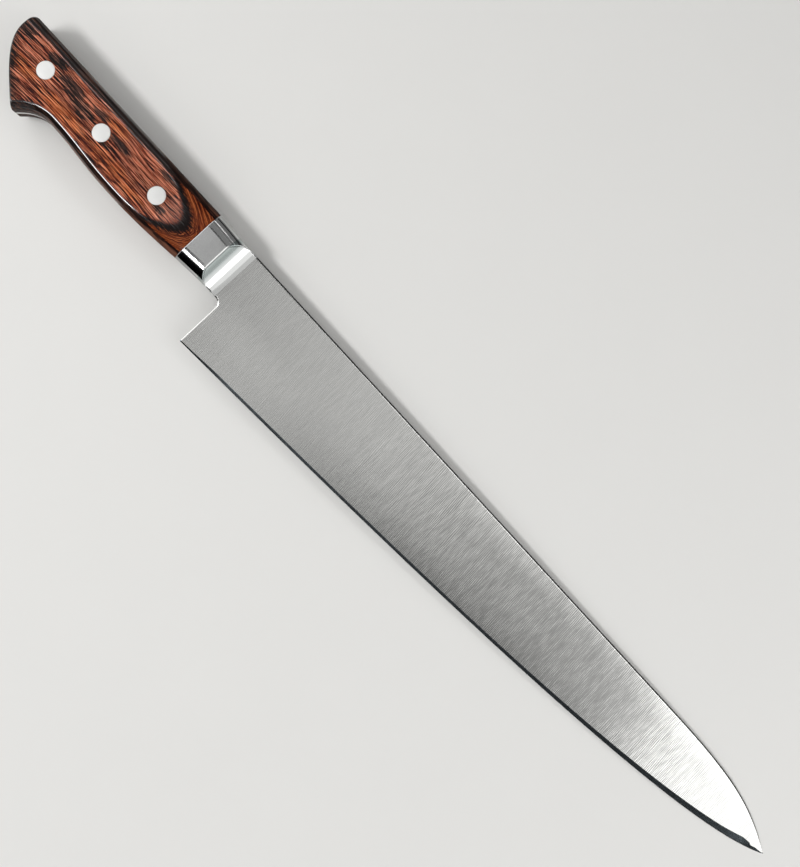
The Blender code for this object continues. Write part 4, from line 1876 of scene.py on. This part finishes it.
@dataclass
class Scale:
    """One scale of the handle, rounded over its long sides and sawn off at the butt.

    Attributes:
        seat: Height of the tang's face, on which the scale sits.
        joint_gap: The hairline to the bolster.
        sharp_degrees: The turn between two faces from which their edge looks sharp.
        rim_share: How much of the scale's height the rows over one rim take at the most.
        insets: Distances from the outline to the rows of points over a rim.
    """

    grip: GripLines
    side: Side
    seat: float = 0.0010
    joint_gap: float = 0.00005
    long_columns: int = 90
    flank_columns: int = 34
    end_columns: int = 60
    middle_rows: int = 12
    sharp_degrees: float = 40.0
    rim_share: float = 0.45
    insets: tuple[float, ...] = (
        0.0, 0.00004, 0.00012, 0.00024, 0.0004, 0.0006, 0.00085, 0.00115, 0.0015, 0.0019, 0.0023,
        0.0027, 0.0032, 0.0038, 0.0046, 0.0056,
    )

    def stations(self) -> list[float]:
        """Returns places along the scale, closer and closer towards the butt."""
        front, butt = -self.grip.joint - self.joint_gap, -self.grip.length
        nose = butt + self.grip.nose_setback
        waist = nose + self.grip.waist_setback
        long = [mix(front, waist, i / self.long_columns) for i in range(self.long_columns)]
        flank = [mix(waist, nose, i / self.flank_columns) for i in range(self.flank_columns)]
        turns = [math.radians(90.0 * i / self.end_columns) for i in range(self.end_columns)]
        end = [mix(nose, butt, math.sin(turn)) for turn in turns]
        return long + flank + end + [butt + HAIRLINE / 2]

    def rows(self, x: float) -> list[float]:
        """Spaces out a column of points.

        Args:
            x: Place along the scale.

        Returns:
            Places across it from its upper outline to its lower.
        """
        top, bottom = self.grip.top(x), self.grip.bottom(x)
        squeeze = min(1.0, self.rim_share * (top - bottom) / self.insets[-1])
        near = [inset * squeeze for inset in self.insets]
        upper = [top - inset for inset in near]
        lower = [bottom + inset for inset in reversed(near)]
        middle = spread(upper[-1], lower[0], self.middle_rows)[:-1]
        return upper + middle + lower

    def build(self, material: Material, rivets: Sequence[Rivet]) -> Object:
        """Builds the scale and drills it for its rivets.

        Args:
            material: The scale's wood.
            rivets: The rivets that pass through it.

        Returns:
            The scale.
        """
        side, seat = self.side.value, self.seat + HAIRLINE / 2
        columns = [
            [(x, y, self.grip.height(x, y) * side) for y in self.rows(x)] for x in self.stations()
        ]
        floor = [[(x, y, seat * side) for x, y, _ in column] for column in columns]
        skin = Skin()
        skin.shell(columns, floor)
        name = f"scale_{self.side.name.lower()}_pakkawood"
        scale = skin.piece(name, [material], self.sharp_degrees)
        for rivet in rivets:
            cut(scale, rivet.hole())
        scale.data.set_sharp_from_angle(angle=math.radians(self.sharp_degrees))
        below = scale.data.attributes.new(BELOW_FACE, "FLOAT", "POINT")
        inside = scale.data.attributes.new(FROM_BUTT, "FLOAT", "POINT")
        for vertex in scale.data.vertices:
            x, y, z = vertex.co
            below.data[vertex.index].value = (self.grip.face(x) - abs(z)) * MM
            inside.data[vertex.index].value = distance_to(self.grip.butt_curve, x, y) * MM
        return scale


@dataclass
class Handle:
    """The scales and the rivets that hold them to the tang.

    Attributes:
        rivet_depth_front: Depth of the first rivet below the spine line.
        rivet_depth_butt: Depth of the last one.
        back_seed: Shifts the grain of the back scale.
    """

    grip: GripLines
    rivet_count: int = 3
    rivet_from_joint: float = 0.0194
    rivet_from_butt: float = 0.0173
    rivet_depth_front: float = 0.0111
    rivet_depth_butt: float = 0.0099
    back_seed: float = 41.0
    dark_patches: tuple[Patch, ...] = (
        Patch(-80.0, -9.6, 16.0, 5.8),
        Patch(-88.0, -7.2, 17.0, 7.0),
        Patch(-114.0, -4.5, 13.0, 7.5),
        Patch(-117.5, -7.0, 6.5, 17.0),
        Patch(-98.0, -4.6, 14.0, 4.2),
        Patch(-74.5, -6.3, 10.0, 3.4),
        Patch(-42.0, -4.2, 16.0, 2.6),
        Patch(-37.0, -13.5, 9.0, 3.6),
        Patch(-66.0, -12.5, 12.0, 1.6),
        Patch(-62.0, -8.6, 14.0, 3.0),
    )
    warm_patches: tuple[Patch, ...] = (
        Patch(-105.0, -14.5, 16.0, 6.0),
        Patch(-84.0, -15.6, 28.0, 6.5),
        Patch(-67.0, -5.2, 13.0, 4.0),
        Patch(-48.0, -17.0, 14.0, 3.5),
        Patch(-60.0, -15.8, 24.0, 6.0),
    )
    back_dark_patches: tuple[Patch, ...] = (
        Patch(-55.0, -6.0, 20.0, 4.0),
        Patch(-98.0, -12.0, 16.0, 4.0),
        Patch(-75.0, -17.0, 14.0, 3.0),
        Patch(-34.0, -15.0, 12.0, 3.0),
    )
    back_warm_patches: tuple[Patch, ...] = (
        Patch(-80.0, -8.0, 22.0, 5.0),
        Patch(-45.0, -13.0, 16.0, 5.0),
        Patch(-108.0, -7.0, 14.0, 5.0),
    )

    def rivets(self) -> list[Rivet]:
        """Returns the rivets, evenly spaced from the joint to the butt."""
        first = -self.grip.joint - self.rivet_from_joint
        last = -self.grip.length + self.rivet_from_butt
        places = []
        for i in range(self.rivet_count):
            share = i / (self.rivet_count - 1)
            depth = mix(self.rivet_depth_front, self.rivet_depth_butt, share)
            places.append(Rivet(i + 1, mix(first, last, share), -depth, self.grip.thickness / 2))
        return places

    def build(self, effects: Effects) -> list[Dressed]:
        """Builds the scales and the rivets.

        Args:
            effects: The shader node groups.

        Returns:
            Each piece with the node that it replaces.
        """
        woods = {
            Side.FRONT: Pakkawood(0.0, self.dark_patches, self.warm_patches),
            Side.BACK: Pakkawood(self.back_seed, self.back_dark_patches, self.back_warm_patches),
        }
        rivets, made = self.rivets(), []
        for side, wood in woods.items():
            name = side.name.lower()
            material = wood.material(f"pakkawood_{name}", effects)
            scale = Scale(self.grip, side).build(material, rivets)
            made.append((scale, f"scale_{name}", "pakkawood"))
        metal = RivetMetal().material("rivet_metal", effects)
        for rivet in rivets:
            post, sleeve = rivet.build(metal)
            made.append((post, f"rivet_{rivet.number}_post", "rivet_metal"))
            made.append((sleeve, f"rivet_{rivet.number}_sleeve", "rivet_metal"))
        return made


# The knife


@dataclass
class Knife:
    """The whole knife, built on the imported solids."""

    blade_lines: BladeLines = field(default_factory=BladeLines)
    grip_lines: GripLines = field(default_factory=GripLines)

    def origin(self) -> Vector:
        """Returns where the drawing's zero stands: on the spine, above the heel."""
        low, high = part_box("blade_and_tang")
        x = high.x - self.blade_lines.length
        return Vector((x, high.y - self.grip_lines.crown, (low.z + high.z) / 2))

    def build(self, effects: Effects) -> None:
        """Builds every piece and hangs it on the frame.

        Args:
            effects: The shader node groups.
        """
        cheek = GroundSteel().material("blade_steel", effects)
        # The edge bevel's darker, bluish colour is a painted dark reflection; its steel is the same as
        # the face's.
        bevel = GroundSteel(colour=(0.38, 0.44, 0.48, 1.0), roughness=0.16, marks=(0.3, 4.0, 2.0),
                            shade=0.05, depth=0.000004, stretch=0.3).material("edge_bevel", effects)
        wall = GroundSteel(roughness=0.26, marks=(0.12, 3.0, 3.0), shade=0.06,
                           stretch=0.0).material("spine_steel", effects)
        polished = PolishedSteel().material("bolster_steel", effects)
        blade = Blade(self.blade_lines).build([cheek, bevel, wall])
        tang = Tang(self.grip_lines).build(wall)
        pieces = [(steel, "blade_and_tang", "blade_steel") for steel in (blade, tang)]
        for side in Side:
            bolster = Bolster(self.grip_lines, self.blade_lines, side).build(polished)
            pieces.append((bolster, f"bolster_{side.name.lower()}", "bolster_steel"))
        pieces += Handle(self.grip_lines).build(effects)
        origin = self.origin()
        for piece, node, slot in pieces:
            piece.location = origin
            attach(piece, "root")
            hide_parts(node)
            log.info("%s stands for %s with %d faces", piece.name, node, len(piece.data.polygons))


# Studio


class Facing(Enum):
    """The ways in which a panel can look."""

    DOWN = (0.0, 0.0, -1.0)
    TO_SPINE = (0.0, 1.0, 0.0)
    TO_EDGE = (0.0, -1.0, 0.0)
    TO_BUTT = (-1.0, 0.0, 0.0)
    TO_TIP = (1.0, 0.0, 0.0)


@dataclass(frozen=True)
class Panel:
    """A soft lamp or a card in the studio, square to the knife.

    Attributes:
        centre: Its middle, from the drawing's zero.
        size: Its width and its height, or its length in X and Y where it looks down.
        radiance: Brightness of its face, in units in which 1 is white.
        facing: The way in which it looks.
    """

    name: str
    centre: Place
    size: Pair
    radiance: float
    facing: Facing = Facing.DOWN

    def placed(self, origin: Vector) -> Matrix:
        """Returns the panel's place and turn."""
        turn = Vector(self.facing.value).to_track_quat("-Z", "Y")
        return Matrix.Translation(Vector(self.centre) + origin) @ turn.to_matrix().to_4x4()

    def lamp(self, origin: Vector) -> None:
        """Hangs the panel as a lamp.

        Args:
            origin: Where the drawing's zero stands.
        """
        lamp = bpy.data.lights.new(self.name, "AREA")
        lamp.shape = "RECTANGLE"
        lamp.size, lamp.size_y = self.size
        lamp.energy = self.radiance * math.pi * self.size[0] * self.size[1]
        thing = bpy.data.objects.new(self.name, lamp)
        thing.matrix_world = self.placed(origin)
        thing.visible_camera = False
        bpy.context.scene.collection.objects.link(thing)

    def card(self, origin: Vector) -> None:
        """Hangs the panel as a card that keeps light off and shows in reflections.

        Args:
            origin: Where the drawing's zero stands.
        """
        material = bpy.data.materials.new(self.name)
        material.use_nodes = True
        inputs = material.node_tree.nodes["Principled BSDF"].inputs
        inputs["Base Color"].default_value = BLACK
        inputs["Specular IOR Level"].default_value = 0.0
        inputs["Emission Color"].default_value = WHITE
        inputs["Emission Strength"].default_value = self.radiance
        skin = Skin()
        skin.rectangle(*self.size)
        thing = skin.piece(self.name, [material])
        thing.matrix_world = self.placed(origin)
        thing.visible_camera = False


@dataclass
class Studio:
    """The floor, the light and the camera.

    Attributes:
        origin: Where the drawing's zero stands.
        floor_contact: Where the handle's underside meets the floor, from the heel line.
        speckle: How much paler than its colour the floor gets.
        camera_turn: Turn of the picture round the camera's axis, in degrees.
        view_height: How much of the scene's height the picture holds.
    """

    origin: Vector
    floor_colour: Colour = (0.68, 0.675, 0.658, 1.0)
    floor_roughness: float = 0.65
    floor_specular: float = 0.3
    floor_width: float = 30.0
    floor_contact: float = -0.0370
    speckle_scale: float = 0.03
    speckle: float = 1.02
    world_colour: Colour = (0.80, 0.80, 0.79, 1.0)
    camera_place: Place = (0.07602, -0.00507, 0.5500)
    camera_turn: float = 47.3
    sensor: float = 36.0
    view_height: float = 0.3030

    def floor(self, knife: Knife, effects: Effects) -> None:
        """Lays the floor so that the handle and the blade's tip both touch it.

        Args:
            knife: The knife that lies on it.
            effects: The shader node groups.
        """
        contact = Vector((self.floor_contact, 0.0, -knife.grip_lines.thickness / 2))
        tip = Vector((knife.blade_lines.length, 0.0, 0.0))
        slope = math.atan2(tip.z - contact.z, tip.x - contact.x)
        skin = Skin()
        skin.rectangle(self.floor_width, self.floor_width)
        work = Work("pale_floor", effects)
        speckle = work.noise(work.scaled(work.place, (self.speckle_scale,) * 3), detail=3.0)
        pale = shaded(self.floor_colour, self.speckle)
        work.shade(Base_Color=work.blend(speckle, self.floor_colour, pale),
                   Roughness=self.floor_roughness, Specular_IOR_Level=self.floor_specular)
        floor = skin.piece("floor", [work.material])
        floor.matrix_world = Matrix.Translation(self.origin + contact) @ Matrix.Rotation(-slope, 4, "Y")

    def lights(self) -> None:
        """Hangs the lamps and the cards."""
        lamps = (
            Panel("key_softbox", (-0.510, -0.530, 1.15), (0.68, 0.25), 23.5),
            Panel("tip_softbox", (0.6725, 0.172, 0.43), (0.675, 0.516), 1.20),
            Panel("high_softbox", (2.20, 0.30, 3.00), (2.60, 1.40), 0.40),
            Panel("far_softbox", (1.10, 0.0, 0.245), (1.2, 0.45), 0.42, Facing.TO_BUTT),
            Panel("butt_softbox", (-1.30, 0.0, 0.65), (1.2, 1.10), 1.25, Facing.TO_TIP),
            Panel("spine_strip", (0.55, 0.115, 1.14), (0.90, 0.09), 2.8),
            Panel("blade_line", (0.80, 0.61, 0.985), (1.6, 0.16), 3.2, Facing.TO_EDGE),
            Panel("bolster_line", (-0.86, 0.61, 0.66), (1.48, 0.05), 2.5, Facing.TO_EDGE),
            Panel("rim_line", (-0.43, 0.12, 1.12), (0.34, 0.10), 2.3),
            Panel("corner_window", (0.70, -0.735, 0.62), (0.50, 0.36), 2.2, Facing.TO_SPINE),
        )
        cards = (
            Panel("edge_side_wall", (-0.25, -0.74, 0.675), (0.50, 1.35), 0.0, Facing.TO_SPINE),
            Panel("edge_side_upper_wall", (0.80, -0.74, 1.10), (1.6, 0.50), 0.03, Facing.TO_SPINE),
            Panel("edge_side_lower_wall", (0.80, -0.74, 0.425), (1.6, 0.85), 0.35, Facing.TO_SPINE),
            Panel("edge_side_ceiling", (0.66, -0.4375, 1.16), (1.2, 0.605), 0.03),
            Panel("spine_side_wall", (0.0, 0.62, 0.69), (3.2, 0.86), 0.20, Facing.TO_EDGE),
            Panel("spine_side_line", (0.0, 0.62, 0.20), (3.2, 0.12), 0.0, Facing.TO_EDGE),
            Panel("spine_side_skirting", (0.0, 0.62, 0.07), (3.2, 0.14), 0.22, Facing.TO_EDGE),
            Panel("spine_side_ceiling", (0.20, 0.350, 1.16), (3.0, 0.56), 0.26),
            Panel("handle_ceiling", (-0.41, -0.065, 1.12), (0.32, 0.27), 0.12),
            Panel("bolster_ceiling", (-0.228, -0.07, 1.13), (0.044, 0.24), 0.66),
            Panel("ridge_ceiling", (-0.193, -0.07, 1.13), (0.026, 0.24), 0.36),
            Panel("upper_bar", (-0.215, 0.100, 1.10), (0.07, 0.11), 0.0),
            Panel("lower_bar", (-0.215, -0.265, 1.10), (0.07, 0.27), 0.0),
            Panel("lower_window", (-0.215, -0.565, 1.09), (0.07, 0.33), 1.3),
        )
        for lamp in lamps:
            lamp.lamp(self.origin)
        for card in cards:
            card.card(self.origin)
        log.info("%d lamps and %d cards hang round the knife", len(lamps), len(cards))

    def world(self) -> None:
        """Fills the studio with even grey light."""
        world = bpy.data.worlds.new("studio")
        world.use_nodes = True
        world.node_tree.nodes["Background"].inputs["Color"].default_value = self.world_colour
        bpy.context.scene.world = world
        bpy.context.scene.view_settings.view_transform = "Standard"

    def camera(self) -> None:
        """Looks straight down on the knife, turned as the photograph is."""
        data = bpy.data.cameras.new("camera")
        data.sensor_width = self.sensor
        data.lens = self.sensor * self.camera_place[2] / self.view_height
        turn = Matrix.Rotation(math.radians(self.camera_turn), 4, "Z")
        camera = bpy.data.objects.new("camera", data)
        camera.matrix_world = Matrix.Translation(self.origin + Vector(self.camera_place)) @ turn
        bpy.context.scene.collection.objects.link(camera)
        bpy.context.scene.camera = camera


def main() -> None:
    """Builds the knife and its studio."""
    logging.basicConfig(level=logging.INFO, format="%(message)s")
    knife, effects = Knife(), Effects()
    knife.build(effects)
    studio = Studio(knife.origin())
    studio.floor(knife, effects)
    studio.lights()
    studio.world()
    studio.camera()


if __name__ == "__main__":
    main()
